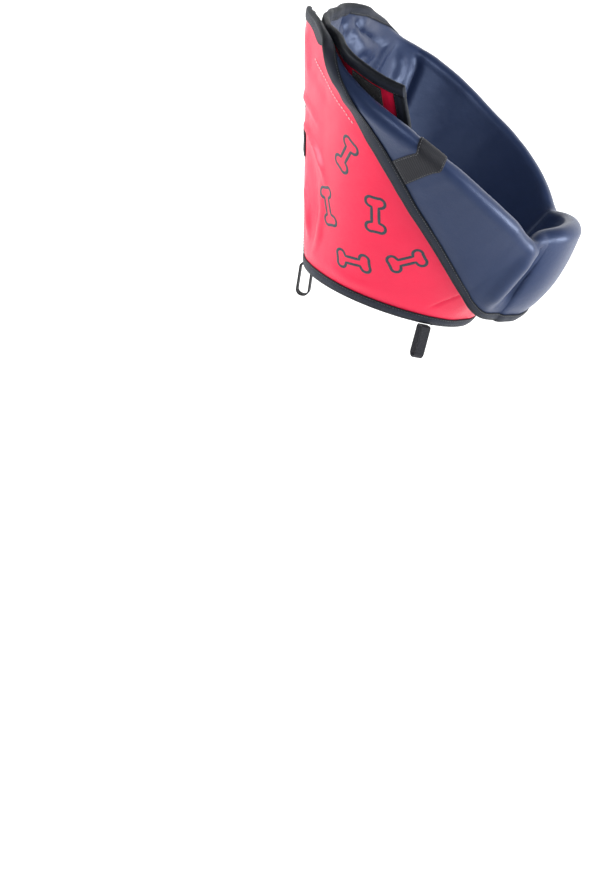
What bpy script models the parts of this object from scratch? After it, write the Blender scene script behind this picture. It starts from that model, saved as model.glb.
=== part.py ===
"""Soft elizabethan collar for a large dog, worn with its rim folded back.

The collar is one padded panel, cut flat as part of a ring and wrapped once
round the neck so that its two ends overlap behind the ears. Red cover cloth
lies outside, navy lining inside, and black tape binds all four edges. The rim
is turned outward from one side of the nape, round the throat, to the other,
so a deep navy cuff lies over the red. Three webbing loops hang from the hem.

Frame: the origin is the middle of the neck opening. X points forward, the way
the dog looks, Z up, and Y to the far side. Lengths are in metres.
"""

import math

import bmesh
import bpy
from mathutils import Vector


# Panel sizes
DEPTH = 0.290                 # hem to rim, measured along the cloth
NECK_LENGTH = 0.197           # neck opening, throat to nape
NECK_WIDTH = 0.160            # neck opening, side to side
NECK_LEAN = 19.0              # forward lean of the neck's axis, degrees
COVER_WALL = 0.0018           # red cover cloth with its share of padding
LINING_WALL = 0.0018          # navy lining with its share of padding
GAP = 0.0003                  # between pieces that are sewn together

# Fold and overlap
BEND_RADIUS = 0.0085          # inside the roll where the rim turns outward
CUFF_LIFT = 0.030             # how far the cuff's rim stands off at the throat
OVER_END = -180.0             # where the upper layer ends, degrees round the neck
UNDER_END_HEM = 288.0         # where the lower layer ends at the hem
UNDER_END_RIM = 260.0         # and at the rim
LAP_ROOM_HEM = 0.0016         # clear space between the two layers behind the ears
LAP_ROOM_RIM = 0.0091
TIP_FLARE = 0.003             # how far the upper layer's tip stands away

# Trim
TAPE_WALL = 0.0010
TAPE_LEG = 0.0110             # width of binding tape seen on each face
TAPE_SLACK = 0.0015           # between the panel's edge and the fold of the tape
STRIP_WALL = 0.0012           # hook and loop tape
STRIP_WIDTH = 0.028
STRIP_START = 0.040           # above the hem
STRIP_BELOW_RIM = 0.020       # left free above it
HOOK_MARGIN = 0.005           # hook tape in from the upper layer's binding
PILE_MARGIN = 0.022           # spare loop tape in from the lower layer's binding
PATCH_AROUND = -84.0          # cross band on the cuff, degrees from the throat
PATCH_WIDTH = 0.032
PATCH_LENGTH = 0.099          # from the rim's binding back over the fold
TAB_START = 0.125             # pull tab beside the upper layer's end
TAB_LENGTH = 0.037

# Webbing loops under the hem
LOOP_AROUND = (-53.0, 60.0, 180.0)
LOOP_NAMES = ("collar_loop_near", "collar_loop_far", "collar_loop_back")
LOOP_DROP = 0.038
LOOP_GAP = 0.012              # between its two legs
WEBBING_WIDTH = 0.011
WEBBING_WALL = 0.0015
BACK_PLUMB = 0.5              # the back loop hangs between plumb and the neck's line

# Shape round the neck. Angles are degrees from the throat, negative on the near
# side, and past 180 on the lower layer. flare leans the wall away from the neck's
# axis, in degrees. fold is how far up the wall the cloth turns back, as a share of
# DEPTH, and 1 leaves it standing. Past the fold the cuff runs to the rim, which lies
# rim_turn degrees further round and rim_up of DEPTH above the hem. It stands off the
# wall by rim_lift of CUFF_LIFT at the rim and by belly of it halfway, and where rim_lift
# is negative the rim closes that share of the roll's width.
SHAPE = [
    # (around, flare, fold, rim_turn, rim_up, rim_lift, belly)
    (-190.0, 17.0, 1.000, 0.0, 1.000, 0.0, 0.0),
    (-165.0, 17.0, 0.995, 0.0, 0.995, 0.00, 0.00),
    (-150.0, 16.8, 0.982, 0.0, 0.982, 0.00, 0.00),
    (-136.0, 18.0, 0.962, 0.0, 0.962, 0.00, 0.00),
    (-128.0, 19.7, 0.940, 0.0, 0.940, 0.00, 0.00),
    (-120.0, 21.7, 0.914, -2.0, 0.905, -0.09, 0.00),
    (-112.0, 23.2, 0.886, -4.0, 0.865, -0.26, 0.00),
    (-104.0, 24.0, 0.855, -6.5, 0.815, -0.44, 0.00),
    (-92.0, 24.0, 0.805, -11.5, 0.720, -0.53, 0.00),
    (-80.0, 24.0, 0.745, -14.5, 0.610, -0.53, 0.00),
    (-66.0, 24.5, 0.665, -18.5, 0.500, -0.53, 0.00),
    (-48.0, 26.5, 0.570, -16.0, 0.325, -0.44, 0.00),
    (-36.0, 28.0, 0.500, -8.0, 0.200, 0.16, 0.05),
    (-24.0, 22.5, 0.500, -2.0, 0.147, 0.42, 0.08),
    (-12.0, 24.5, 0.530, 0.0, 0.155, 0.56, 0.22),
    (0.0, 25.0, 0.538, 0.0, 0.172, 0.60, 0.25),
    (12.0, 24.5, 0.530, 0.0, 0.155, 0.56, 0.22),
    (24.0, 22.5, 0.500, 2.0, 0.147, 0.42, 0.08),
    (36.0, 28.0, 0.500, 8.0, 0.200, 0.16, 0.05),
    (48.0, 26.5, 0.570, 16.0, 0.325, -0.44, 0.00),
    (66.0, 24.5, 0.665, 18.5, 0.500, -0.53, 0.00),
    (80.0, 24.0, 0.745, 14.5, 0.610, -0.53, 0.00),
    (92.0, 24.2, 0.807, 11.5, 0.722, -0.53, 0.00),
    (104.0, 25.5, 0.873, 6.5, 0.818, -0.44, 0.00),
    (116.0, 26.0, 0.928, 3.0, 0.905, -0.20, 0.00),
    (126.0, 23.0, 0.962, 1.0, 0.962, 0.00, 0.00),
    (140.0, 17.0, 0.988, 0.0, 0.988, 0.00, 0.00),
    (152.0, 15.5, 0.999, 0.0, 0.999, 0.00, 0.00),
    (164.0, 16.0, 1.000, 0.0, 1.000, 0.0, 0.0),
    (180.0, 16.5, 1.000, 0.0, 1.000, 0.0, 0.0),
    (205.0, 17.0, 1.000, 0.0, 1.000, 0.0, 0.0),
    (225.0, 19.0, 1.000, 0.0, 1.000, 0.0, 0.0),
    (241.0, 23.0, 1.000, 0.0, 1.000, 0.0, 0.0),
    (290.0, 24.0, 1.000, 0.0, 1.000, 0.0, 0.0),
]
AROUND, FLARE, FOLD, RIM_TURN, RIM_UP, RIM_LIFT, BELLY = range(7)

# Mesh fineness
EVEN_TURN = 10.5              # degrees between columns away from the ends
CLOSE_TURN = 5.4              # and where the cloth is pleated or starts to roll over
THROAT_HALF = 46.0            # pleats, either side of the throat
ROLL_FROM = 106.0             # start of the roll, either side of the nape
ROLL_TO = 152.0
LEAN_FADE = 55.0              # degrees over which the columns' lean dies away
WALL_ROWS = 3
BEND_ROWS = 4
CUFF_ROWS = 4
LOOP_CORNER_STEPS = 3

# Derived directions and lengths
LEAN = math.radians(NECK_LEAN)
AXIS = Vector((math.sin(LEAN), 0.0, math.cos(LEAN)))
THROAT = Vector((math.cos(LEAN), 0.0, -math.sin(LEAN)))
FAR_SIDE = Vector((0.0, 1.0, 0.0))
COVER_INNER = GAP / 2
COVER_OUTER = COVER_INNER + COVER_WALL
LINING_INNER = -GAP / 2
LINING_OUTER = LINING_INNER - LINING_WALL
HOOK_INSET = TAPE_LEG + HOOK_MARGIN
PILE_INSET = TAPE_LEG + PILE_MARGIN
STRIP_STOP = DEPTH - STRIP_BELOW_RIM
PATCH_STOP = DEPTH - TAPE_LEG - GAP
LAP_TRIM = COVER_OUTER - LINING_OUTER + 2 * (GAP + max(TAPE_WALL, STRIP_WALL))


def clamp(value, low, high):
    return max(low, min(high, value))


def ease(value):
    x = clamp(value, 0.0, 1.0)
    return x * x * (3.0 - 2.0 * x)


def shape(around, column):
    """Smooth value of one SHAPE column at an angle round the neck."""
    rows = SHAPE
    at = clamp(around, rows[0][AROUND], rows[-1][AROUND])
    k = 0
    while k < len(rows) - 2 and rows[k + 1][AROUND] < at:
        k += 1
    x0, x1 = rows[k][AROUND], rows[k + 1][AROUND]
    y0, y1 = rows[k][column], rows[k + 1][column]
    before = rows[max(k - 1, 0)]
    after = rows[min(k + 2, len(rows) - 1)]
    slope0 = (y1 - before[column]) / (x1 - before[AROUND])
    slope1 = (after[column] - y0) / (after[AROUND] - x0)
    t = (at - x0) / (x1 - x0)
    span = x1 - x0
    return (y0 * (1 + 2 * t) * (1 - t) ** 2 + slope0 * span * t * (1 - t) ** 2
            + y1 * t * t * (3 - 2 * t) - slope1 * span * t * t * (1 - t))


def radial(around):
    angle = math.radians(around)
    return THROAT * math.cos(angle) + FAR_SIDE * math.sin(angle)


def hem_point(around):
    angle = math.radians(around)
    return (THROAT * (NECK_LENGTH / 2 * math.cos(angle))
            + FAR_SIDE * (NECK_WIDTH / 2 * math.sin(angle)))


def standing_point(around, up):
    """Point of the panel before its rim is folded, up metres above the hem."""
    share = up / DEPTH
    flare = math.radians(shape(around, FLARE))
    point = hem_point(around) + (AXIS * math.cos(flare) + radial(around) * math.sin(flare)) * up
    room = LAP_ROOM_HEM + (LAP_ROOM_RIM - LAP_ROOM_HEM) * share
    inset = ease((around - 152.0) / 24.0) * (LAP_TRIM + room)
    tip = TIP_FLARE * ease((-140.0 - around) / 40.0) * share * share
    return point + radial(around) * (tip - inset)


def standing_normal(around, up):
    step = 1.0
    across = standing_point(around + step, up) - standing_point(around - step, up)
    along = standing_point(around, up + 0.002) - standing_point(around, up - 0.002)
    return across.cross(along).normalized()


def hem_speed(around):
    """Metres of hem for each degree round the neck."""
    return (hem_point(around + 0.5) - hem_point(around - 0.5)).length


def stretch(around, up):
    """How much wider the cloth is at a height above the hem than at the hem."""
    across = standing_point(around + 0.5, up) - standing_point(around - 0.5, up)
    return across.length / hem_speed(around)


def panel_point(around, up):
    """Middle of the panel's thickness, with the rim folded back."""
    turn = shape(around, FOLD) * DEPTH
    if up <= turn:
        return standing_point(around, up)
    rest = up - turn
    whole = DEPTH - turn
    angle = min(rest / BEND_RADIUS, math.pi)
    over = max(rest - math.pi * BEND_RADIUS, 0.0)
    share = over / max(whole - math.pi * BEND_RADIUS, BEND_RADIUS)
    rim_up = shape(around, RIM_UP) * DEPTH
    here_up = turn + BEND_RADIUS * math.sin(angle) + (rim_up - turn) * share
    here_around = around + shape(around, RIM_TURN) * share
    lift = BEND_RADIUS * (1.0 - math.cos(angle))
    rim_lift = shape(around, RIM_LIFT)
    lift += rim_lift * (CUFF_LIFT if rim_lift > 0.0 else 2.0 * BEND_RADIUS) * share
    lift += CUFF_LIFT * shape(around, BELLY) * math.sin(math.pi * share)
    return standing_point(here_around, here_up) + standing_normal(here_around, here_up) * lift


def panel_frame(around, up):
    """Middle point, outward normal, direction to the rim and direction round the neck."""
    side = panel_point(around + 0.4, up) - panel_point(around - 0.4, up)
    rise = panel_point(around, up + 0.0004) - panel_point(around, up - 0.0004)
    return panel_point(around, up), side.cross(rise).normalized(), rise.normalized(), side.normalized()


def on_panel(around, up, offset):
    point, normal, rise, side = panel_frame(around, up)
    return point + normal * offset


def turn_for(length, around, up):
    """Degrees round the neck that a length of cloth takes, up metres above the hem."""
    return length / (hem_speed(around) * stretch(around, up))


def around_at(column, up):
    """A column's angle round the neck at a height above the hem."""
    anchor, value = column
    if anchor == "over end":
        return OVER_END + turn_for(value, OVER_END, up)
    if anchor == "under the over end":
        return OVER_END + 360.0 + turn_for(value, OVER_END, up)
    if anchor == "patch":
        return PATCH_AROUND + turn_for(value, PATCH_AROUND, up)
    if anchor == "under end":
        end = UNDER_END_HEM + (UNDER_END_RIM - UNDER_END_HEM) * up / DEPTH
        return end - turn_for(value, UNDER_END_HEM, up)
    return value + end_lean(value) * up / DEPTH


def end_lean(value):
    """Degrees by which the free columns beside the upper layer's strips lean with them."""
    strip = HOOK_INSET + STRIP_WIDTH
    hem_turn = turn_for(strip, OVER_END, 0.0)
    whole = turn_for(strip, OVER_END, DEPTH) - hem_turn
    return whole * (1.0 - ease((value - OVER_END - hem_turn) / LEAN_FADE))


def spread(first, last):
    """Evenly spaced columns between two angles, both left out, closer at the throat."""
    def weight(angle):
        close = abs(angle) < THROAT_HALF or ROLL_FROM < abs(angle) < ROLL_TO
        return EVEN_TURN / CLOSE_TURN if close else 1.0

    steps = 400
    places = [first + (last - first) * (k + 0.5) / steps for k in range(steps)]
    total = sum(weight(place) for place in places)
    count = max(1, round(total * (last - first) / steps / EVEN_TURN))
    columns = []
    passed = 0.0
    for place in places:
        passed += weight(place) * count / total
        if passed >= len(columns) + 1 and len(columns) < count - 1:
            columns.append(("angle", place))
    return columns


def column_list():
    strip = (HOOK_INSET, HOOK_INSET + STRIP_WIDTH / 2, HOOK_INSET + STRIP_WIDTH)
    pile = (PILE_INSET + STRIP_WIDTH, PILE_INSET + STRIP_WIDTH / 2, PILE_INSET)
    strip_turn = turn_for(strip[2], OVER_END, 0.0)
    patch_turn = turn_for(PATCH_WIDTH / 2, PATCH_AROUND, 0.0)
    pile_turn = turn_for(pile[0], UNDER_END_HEM, 0.0)
    columns = [("over end", 0.0), ("over end", TAPE_LEG)]
    columns += [("over end", value) for value in strip]
    columns += spread(OVER_END + strip_turn, PATCH_AROUND - patch_turn)
    columns += [("patch", -PATCH_WIDTH / 2), ("patch", 0.0), ("patch", PATCH_WIDTH / 2)]
    columns += spread(PATCH_AROUND + patch_turn, OVER_END + 360.0)
    columns += [("under the over end", value) for value in strip]
    columns += spread(OVER_END + 360.0 + strip_turn, UNDER_END_HEM - pile_turn)
    columns += [("under end", value) for value in pile]
    columns += [("under end", TAPE_LEG), ("under end", 0.0)]
    return columns


COLUMNS = column_list()
TURN_COLUMNS = range(len(COLUMNS))


def row_list(column):
    """Heights above the hem of a column's rows, closer together where the cloth rolls over."""
    turn = clamp(shape(around_at(column, DEPTH * 0.7), FOLD), 0.45, 0.86) * DEPTH
    roll = min(math.pi * BEND_RADIUS * 1.05, (DEPTH - turn) * 0.55)
    rows = [0.0]
    rows += [TAPE_LEG + (turn - TAPE_LEG) * k / WALL_ROWS for k in range(WALL_ROWS)]
    rows += [turn + roll * k / BEND_ROWS for k in range(BEND_ROWS)]
    start = turn + roll
    stop = DEPTH - TAPE_LEG
    rows += [start + (stop - start) * k / CUFF_ROWS for k in range(CUFF_ROWS)]
    return rows + [stop, DEPTH - TAPE_LEG / 2, DEPTH]


def material(name, colour, roughness):
    made = bpy.data.materials.new(name)
    made.use_nodes = True
    shader = made.node_tree.nodes["Principled BSDF"]
    shader.inputs["Base Color"].default_value = (*colour, 1.0)
    shader.inputs["Roughness"].default_value = roughness
    shader.inputs["Metallic"].default_value = 0.0
    return made


def add_object(name, points, faces, finish):
    """One closed body with its faces pointing out."""
    mesh = bpy.data.meshes.new(name)
    mesh.from_pydata([tuple(p) for p in points], [], faces)
    body = bmesh.new()
    body.from_mesh(mesh)
    bmesh.ops.recalc_face_normals(body, faces=body.faces)
    body.to_mesh(mesh)
    body.free()
    mesh.materials.append(finish)
    mesh.shade_smooth()
    mesh.set_sharp_from_angle(angle=math.radians(40.0))
    made = bpy.data.objects.new(name, mesh)
    bpy.context.scene.collection.objects.link(made)
    return made


def leans_forward(around):
    """Whether facets are split from the lower near corner. The two sides of the collar mirror."""
    return around < 0.0


def split_quad(corners, forward):
    a, b, c, d = corners
    return [(a, b, c), (a, c, d)] if forward else [(a, b, d), (b, c, d)]


def add_sheet(name, stations, low, high, finish):
    """A wall between two offsets from the panel's middle, over a grid of (around, up)."""
    points = []
    for column in stations:
        for around, up in column:
            points.append(on_panel(around, up, high))
            points.append(on_panel(around, up, low))
    rows = len(stations[0])

    def vertex(i, j, side):
        return 2 * (i * rows + j) + side

    faces = []
    for i in range(len(stations) - 1):
        for j in range(rows - 1):
            for side in (0, 1):
                corners = (vertex(i, j, side), vertex(i + 1, j, side),
                           vertex(i + 1, j + 1, side), vertex(i, j + 1, side))
                faces += split_quad(corners, leans_forward(stations[i][j][0]))
        for j in (0, rows - 1):
            corners = (vertex(i, j, 0), vertex(i + 1, j, 0), vertex(i + 1, j, 1), vertex(i, j, 1))
            faces += split_quad(corners, not leans_forward(stations[i][j][0]))
    for i in (0, len(stations) - 1):
        for j in range(rows - 1):
            faces.append((vertex(i, j, 0), vertex(i, j + 1, 0), vertex(i, j + 1, 1), vertex(i, j, 1)))
    return add_object(name, points, faces, finish)


def add_channel(name, rings, ranks, forward, finish, start_cap=None, end_cap=None):
    """A folded tape: rings of points run round its outer face and back round its inner one.

    ranks give each ring point's order across the panel, and forward each ring's lean,
    so that the tape's facets are split as the wall's facets beneath them are.
    """
    points = [p for ring in rings for p in ring]
    count = len(rings[0])
    faces = []
    for i in range(len(rings) - 1):
        for j in range(count):
            k = (j + 1) % count
            here, there = i * count, (i + 1) * count
            faces += split_quad((here + j, there + j, there + k, here + k),
                                forward[i] == (ranks[j] <= ranks[k]))
    half = count // 2
    for cap, i in ((start_cap, 0), (end_cap, len(rings) - 1)):
        base = i * count
        if cap is None:
            for j in range(half - 1):
                faces.append((base + j, base + j + 1, base + count - 2 - j, base + count - 1 - j))
            continue
        faces.append(tuple(base + half + j for j in range(half)))
        first = len(points)
        points += cap
        faces.append(tuple(first + j for j in range(half)))
        for j in range(half - 1):
            faces.append((base + j, base + j + 1, first + j + 1, first + j))
        faces.append((base, first, first + half - 1, base + half - 1, base + half, base + count - 1))
    return add_object(name, points, faces, finish)


def above_cloth(side, height):
    """Offset from the panel's middle at a height above the cover (side 1) or the lining (side -1)."""
    return COVER_OUTER + height if side > 0 else LINING_OUTER - height


def edge_ring(around, leg_ups, edge_up, beyond, slide=0.0):
    """Section of the tape over the rim or hem, moved along the edge by slide."""
    ring = []
    for height, past, order in ((GAP + TAPE_WALL, TAPE_SLACK + TAPE_WALL, 1), (GAP, TAPE_SLACK, -1)):
        face = []
        for side in (1.0, -1.0):
            offset = above_cloth(side, height)
            leg = []
            for up in leg_ups:
                point, normal, rise, across = panel_frame(around(up), up)
                leg.append(point + normal * offset + across * slide)
            point, normal, rise, across = panel_frame(around(edge_up), edge_up)
            leg.append(point + normal * offset + rise * (beyond * past) + across * slide)
            face += leg if side > 0 else leg[::-1]
        ring += face if order > 0 else face[::-1]
    return ring


def add_edge_tape(name, leg_ups, edge_up, beyond, finish):
    """Binding tape along the whole rim or hem, closed over the panel's corners."""
    rings = []
    for i in TURN_COLUMNS:
        slide = {0: -TAPE_SLACK, len(COLUMNS) - 1: TAPE_SLACK}.get(i, 0.0)
        column = COLUMNS[i]
        rings.append(edge_ring(lambda up, c=column: around_at(c, up), leg_ups, edge_up, beyond, slide))
    half = len(rings[0]) // 2
    past = TAPE_SLACK + TAPE_WALL
    first = edge_ring(lambda up: around_at(COLUMNS[0], up), leg_ups, edge_up, beyond, -past)[:half]
    last = edge_ring(lambda up: around_at(COLUMNS[-1], up), leg_ups, edge_up, beyond, past)[:half]
    face = [*leg_ups, edge_up]
    ranks = face + face[::-1] + face + face[::-1]
    forward = [leans_forward(around_at(column, 0.0)) for column in COLUMNS]
    return add_channel(name, rings, ranks, forward, finish, first, last)


def add_end_tape(name, edge_column, leg_column, beyond, finish):
    """Binding tape along one end of the panel, between the hem's tape and the rim's."""
    inner_rows = [up for up in row_list(edge_column) if TAPE_LEG < up < DEPTH - TAPE_LEG]
    ups = [TAPE_LEG + GAP] + inner_rows + [DEPTH - TAPE_LEG - GAP]
    rings = []
    for up in ups:
        leg, leg_normal = panel_frame(around_at(leg_column, up), up)[:2]
        edge, normal, rise, across = panel_frame(around_at(edge_column, up), up)
        ring = []
        for height, past, order in ((GAP + TAPE_WALL, TAPE_SLACK + TAPE_WALL, 1), (GAP, TAPE_SLACK, -1)):
            outside, inside = above_cloth(1, height), above_cloth(-1, height)
            face = [leg + leg_normal * outside,
                    edge + normal * outside + across * (beyond * past),
                    edge + normal * inside + across * (beyond * past),
                    leg + leg_normal * inside]
            ring += face if order > 0 else face[::-1]
        rings.append(ring)
    ranks = [0.0, beyond, beyond, 0.0, 0.0, beyond, beyond, 0.0]
    forward = [leans_forward(around_at(edge_column, 0.0))] * len(rings)
    return add_channel(name, rings, ranks, forward, finish)


def columns_between(anchor, low, high):
    return [c for c in COLUMNS if c[0] == anchor and low - 1e-6 <= c[1] <= high + 1e-6]


def strip_stations(columns, start, stop):
    """Stations of a strip between two heights, on the wall's own rows between them."""
    middle = columns[len(columns) // 2]
    kept = [j for j, up in enumerate(row_list(middle)) if start + 0.003 < up < stop - 0.003]
    return [[(around_at(c, up), up) for up in [start] + [row_list(c)[j] for j in kept] + [stop]]
            for c in columns]


def add_strip(name, columns, start, stop, side, wall, finish):
    """Tape sewn flat on the cover (side 1) or on the lining (side -1)."""
    near = above_cloth(side, GAP)
    far = above_cloth(side, GAP + wall)
    return add_sheet(name, strip_stations(columns, start, stop), min(near, far), max(near, far), finish)


def loop_frame(around):
    """Middle of a loop's top edge, and its directions outward, down and along the hem."""
    hem = hem_point(around)
    along = (hem_point(around + 0.5) - hem_point(around - 0.5)).normalized()
    plumb = 1.0 - (1.0 - BACK_PLUMB) * ease((abs(around) - 60.0) / 60.0)
    down = (Vector((0.0, 0.0, -1.0)) * plumb - AXIS * (1.0 - plumb)).normalized()
    down = (down - along * down.dot(along)).normalized()
    outward = along.cross(-down).normalized()
    half_turn = turn_for(WEBBING_WIDTH / 2, around, 0.0)
    places = [around - half_turn, around, around + half_turn]
    places += [place - 360.0 for place in places if place - 360.0 > OVER_END - 2 * half_turn]
    lowest = 0.0
    for place in places:
        edge = standing_point(place, 0.0)
        rise = (standing_point(place, TAPE_LEG) - edge).normalized()
        beyond = edge - hem - rise * (TAPE_SLACK + TAPE_WALL)
        for side in (1, -1):
            corner = beyond + standing_normal(place, 0.0) * above_cloth(side, GAP + TAPE_WALL)
            lowest = max(lowest, corner.dot(down))
    return hem + down * (lowest + GAP), outward, down, along


def loop_outline(inset):
    """Rounded slot outline of a loop as (outward, down) pairs."""
    half = LOOP_GAP / 2 + WEBBING_WALL - inset
    top = inset
    bottom = LOOP_DROP - inset
    corner = min(half * 0.7, 0.004)
    outline = []
    for centre_out, centre_down, start in ((half - corner, top + corner, -90.0),
                                           (half - corner, bottom - corner, 0.0),
                                           (-half + corner, bottom - corner, 90.0),
                                           (-half + corner, top + corner, 180.0)):
        for k in range(LOOP_CORNER_STEPS + 1):
            angle = math.radians(start + 90.0 * k / LOOP_CORNER_STEPS)
            outline.append((centre_out + corner * math.cos(angle), centre_down + corner * math.sin(angle)))
    return outline


def add_loop(name, around, finish):
    """A flat webbing ring that hangs from the hem and takes the dog's own collar."""
    origin, outward, down, along = loop_frame(around)
    outer = loop_outline(0.0)
    inner = loop_outline(WEBBING_WALL)
    points = []
    for outline in (outer, inner):
        for side in (-0.5, 0.5):
            for out, drop in outline:
                points.append(origin + outward * out + down * drop + along * (side * WEBBING_WIDTH))
    count = len(outer)
    faces = []
    for k in range(count):
        n = (k + 1) % count
        faces.append((k, n, count + n, count + k))
        faces.append((2 * count + k, 2 * count + n, 3 * count + n, 3 * count + k))
        faces.append((k, n, 2 * count + n, 2 * count + k))
        faces.append((count + k, count + n, 3 * count + n, 3 * count + k))
    return add_object(name, points, faces, finish)


def build():
    for old in list(bpy.data.objects):
        bpy.data.objects.remove(old, do_unlink=True)
    red = material("red_nylon", (0.94, 0.065, 0.115), 0.42)
    navy = material("navy_nylon", (0.050, 0.062, 0.125), 0.45)
    black = material("black_tape", (0.035, 0.037, 0.042), 0.62)
    loop_tape = material("black_hook_and_loop", (0.018, 0.018, 0.021), 0.9)

    grid = [[(around_at(c, up), up) for up in row_list(c)] for c in COLUMNS]
    add_sheet("outer_cover", grid, COVER_INNER, COVER_OUTER, red)
    add_sheet("lining", grid, LINING_OUTER, LINING_INNER, navy)

    rim_rows = (DEPTH - TAPE_LEG, DEPTH - TAPE_LEG / 2, DEPTH)
    add_edge_tape("rim_binding", rim_rows, DEPTH, 1.0, black)
    add_edge_tape("neck_binding", (TAPE_LEG,), 0.0, -1.0, black)
    add_end_tape("over_end_binding", COLUMNS[0], COLUMNS[1], -1.0, black)
    add_end_tape("under_end_binding", COLUMNS[-1], COLUMNS[-2], 1.0, black)

    strip = (HOOK_INSET, HOOK_INSET + STRIP_WIDTH)
    add_strip("hook_strip", columns_between("over end", *strip),
              STRIP_START, STRIP_STOP, -1, STRIP_WALL, loop_tape)
    add_strip("pile_strip", columns_between("under the over end", *strip),
              STRIP_START, STRIP_STOP, 1, STRIP_WALL, loop_tape)
    add_strip("spare_pile_strip", columns_between("under end", PILE_INSET, PILE_INSET + STRIP_WIDTH),
              STRIP_START, STRIP_STOP, 1, STRIP_WALL, loop_tape)
    add_strip("cuff_band", columns_between("patch", -PATCH_WIDTH / 2, PATCH_WIDTH / 2),
              PATCH_STOP - PATCH_LENGTH, PATCH_STOP, -1, TAPE_WALL, black)
    add_strip("pull_tab", columns_between("over end", HOOK_INSET, HOOK_INSET + STRIP_WIDTH / 2),
              TAB_START, TAB_START + TAB_LENGTH, 1, WEBBING_WALL, black)

    for name, around in zip(LOOP_NAMES, LOOP_AROUND):
        add_loop(name, around, black)


build()
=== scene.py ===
# %% [markdown]
# A soft elizabethan collar, folded back at the rim
#
# A dog wears this padded cone after an operation, so that it can't lick its
# stitches. It is one flat panel of cloth on thin foam, wrapped round the neck and
# closed behind the ears. Red cloth lies outside and navy inside, black tape binds
# the edges, and the rim is turned outward, so that a navy cuff lies over the red.
#
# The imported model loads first. It is the fixed frame: every piece made below is
# measured in metres from the middle of the neck opening and replaces one of its
# plain solids.

# %% Load the frame
import math

import bmesh
import bpy
import numpy as np
from mathutils import Matrix, Vector


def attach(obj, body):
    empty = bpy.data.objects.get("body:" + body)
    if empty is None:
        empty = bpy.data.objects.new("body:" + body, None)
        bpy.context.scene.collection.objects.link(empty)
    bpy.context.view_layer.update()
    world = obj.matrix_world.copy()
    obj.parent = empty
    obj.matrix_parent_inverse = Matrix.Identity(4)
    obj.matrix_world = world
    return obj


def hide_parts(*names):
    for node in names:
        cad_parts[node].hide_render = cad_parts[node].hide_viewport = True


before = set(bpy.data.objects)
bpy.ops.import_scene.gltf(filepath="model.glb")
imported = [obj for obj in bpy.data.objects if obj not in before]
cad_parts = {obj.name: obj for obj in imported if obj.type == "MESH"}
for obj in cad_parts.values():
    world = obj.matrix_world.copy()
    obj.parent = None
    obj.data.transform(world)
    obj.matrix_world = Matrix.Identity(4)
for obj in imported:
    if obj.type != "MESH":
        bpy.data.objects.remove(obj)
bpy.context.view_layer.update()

print("solids in the frame:", len(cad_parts))

# %% [markdown]
# The camera
#
# The collar is seen from the dog's right, a little from the front and from above.
# The lens is long and the camera stands 2.4 m away, as in a product studio. It
# looks past the collar, down and to the left, so that the collar sits high at the
# right of the tall picture. A shifted lens would also do that, but it would move
# the collar out of the middle of every other view.

# %% Place the camera
IMAGE_HEIGHT = 894
CAMERA_PLACE = Vector((0.4674, -2.3276, 0.5438))
CAMERA_TURN, CAMERA_RISE, CAMERA_ROLL = (math.radians(v) for v in (13.64, 17.125, -0.892))
FOCAL_PIXELS = 2117.8


def place_camera():
    back = Vector((math.sin(CAMERA_TURN) * math.cos(CAMERA_RISE),
                   -math.cos(CAMERA_TURN) * math.cos(CAMERA_RISE),
                   math.sin(CAMERA_RISE)))
    level = Vector((math.cos(CAMERA_TURN), math.sin(CAMERA_TURN), 0.0))
    right = level * math.cos(CAMERA_ROLL) + back.cross(level) * math.sin(CAMERA_ROLL)
    turn = Matrix((right, back.cross(right), back)).transposed().to_4x4()
    turn.translation = CAMERA_PLACE
    camera = bpy.data.objects.new("studio_camera", bpy.data.cameras.new("studio_camera"))
    bpy.context.scene.collection.objects.link(camera)
    camera.matrix_world = turn
    camera.data.sensor_width = 36.0
    camera.data.lens = 36.0 * FOCAL_PIXELS / IMAGE_HEIGHT
    bpy.context.scene.camera = camera
    return camera


studio_camera = place_camera()
print("lens", round(studio_camera.data.lens, 1), "mm")

# %% [markdown]
# The pattern piece
#
# A maker would call this the pattern: how deep the panel is, how long the neck
# opening is, how the cloth flares at each angle round the neck, and where it
# folds. A sculpted mesh could have the same look, but a rule that turns a place on
# the flat cloth into a point in space gives every tape, strip and stitch its place
# on the cloth for nothing.

# %% Sizes of the panel and its trim
DEPTH = 0.290                 # hem to rim, along the cloth
NECK_LENGTH, NECK_WIDTH = 0.197, 0.160
NECK_LEAN = math.radians(19.0)
COVER_WALL = LINING_WALL = 0.0018
GAP = 0.0003
BEND_RADIUS = 0.0085
CUFF_LIFT = 0.030
OVER_END, UNDER_END_HEM, UNDER_END_RIM = -180.0, 288.0, 260.0
LAP_ROOM_HEM, LAP_ROOM_RIM = 0.0016, 0.0091
TIP_FLARE = 0.003
TAPE_WALL, TAPE_LEG, TAPE_SLACK = 0.0010, 0.0110, 0.0015
STRIP_WALL, STRIP_WIDTH = 0.0012, 0.028
STRIP_START, STRIP_STOP = 0.040, 0.270
HOOK_INSET, PILE_INSET = 0.016, 0.033
PATCH_AROUND, PATCH_WIDTH, PATCH_LENGTH = -84.0, 0.032, 0.099
TAB_START, TAB_LENGTH = 0.125, 0.037
LOOP_AROUND = {"near": -53.0, "far": 60.0, "back": 180.0}
LOOP_DROP, LOOP_GAP = 0.038, 0.012
WEBBING_WIDTH, WEBBING_WALL = 0.011, 0.0015
BACK_PLUMB = 0.5

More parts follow.
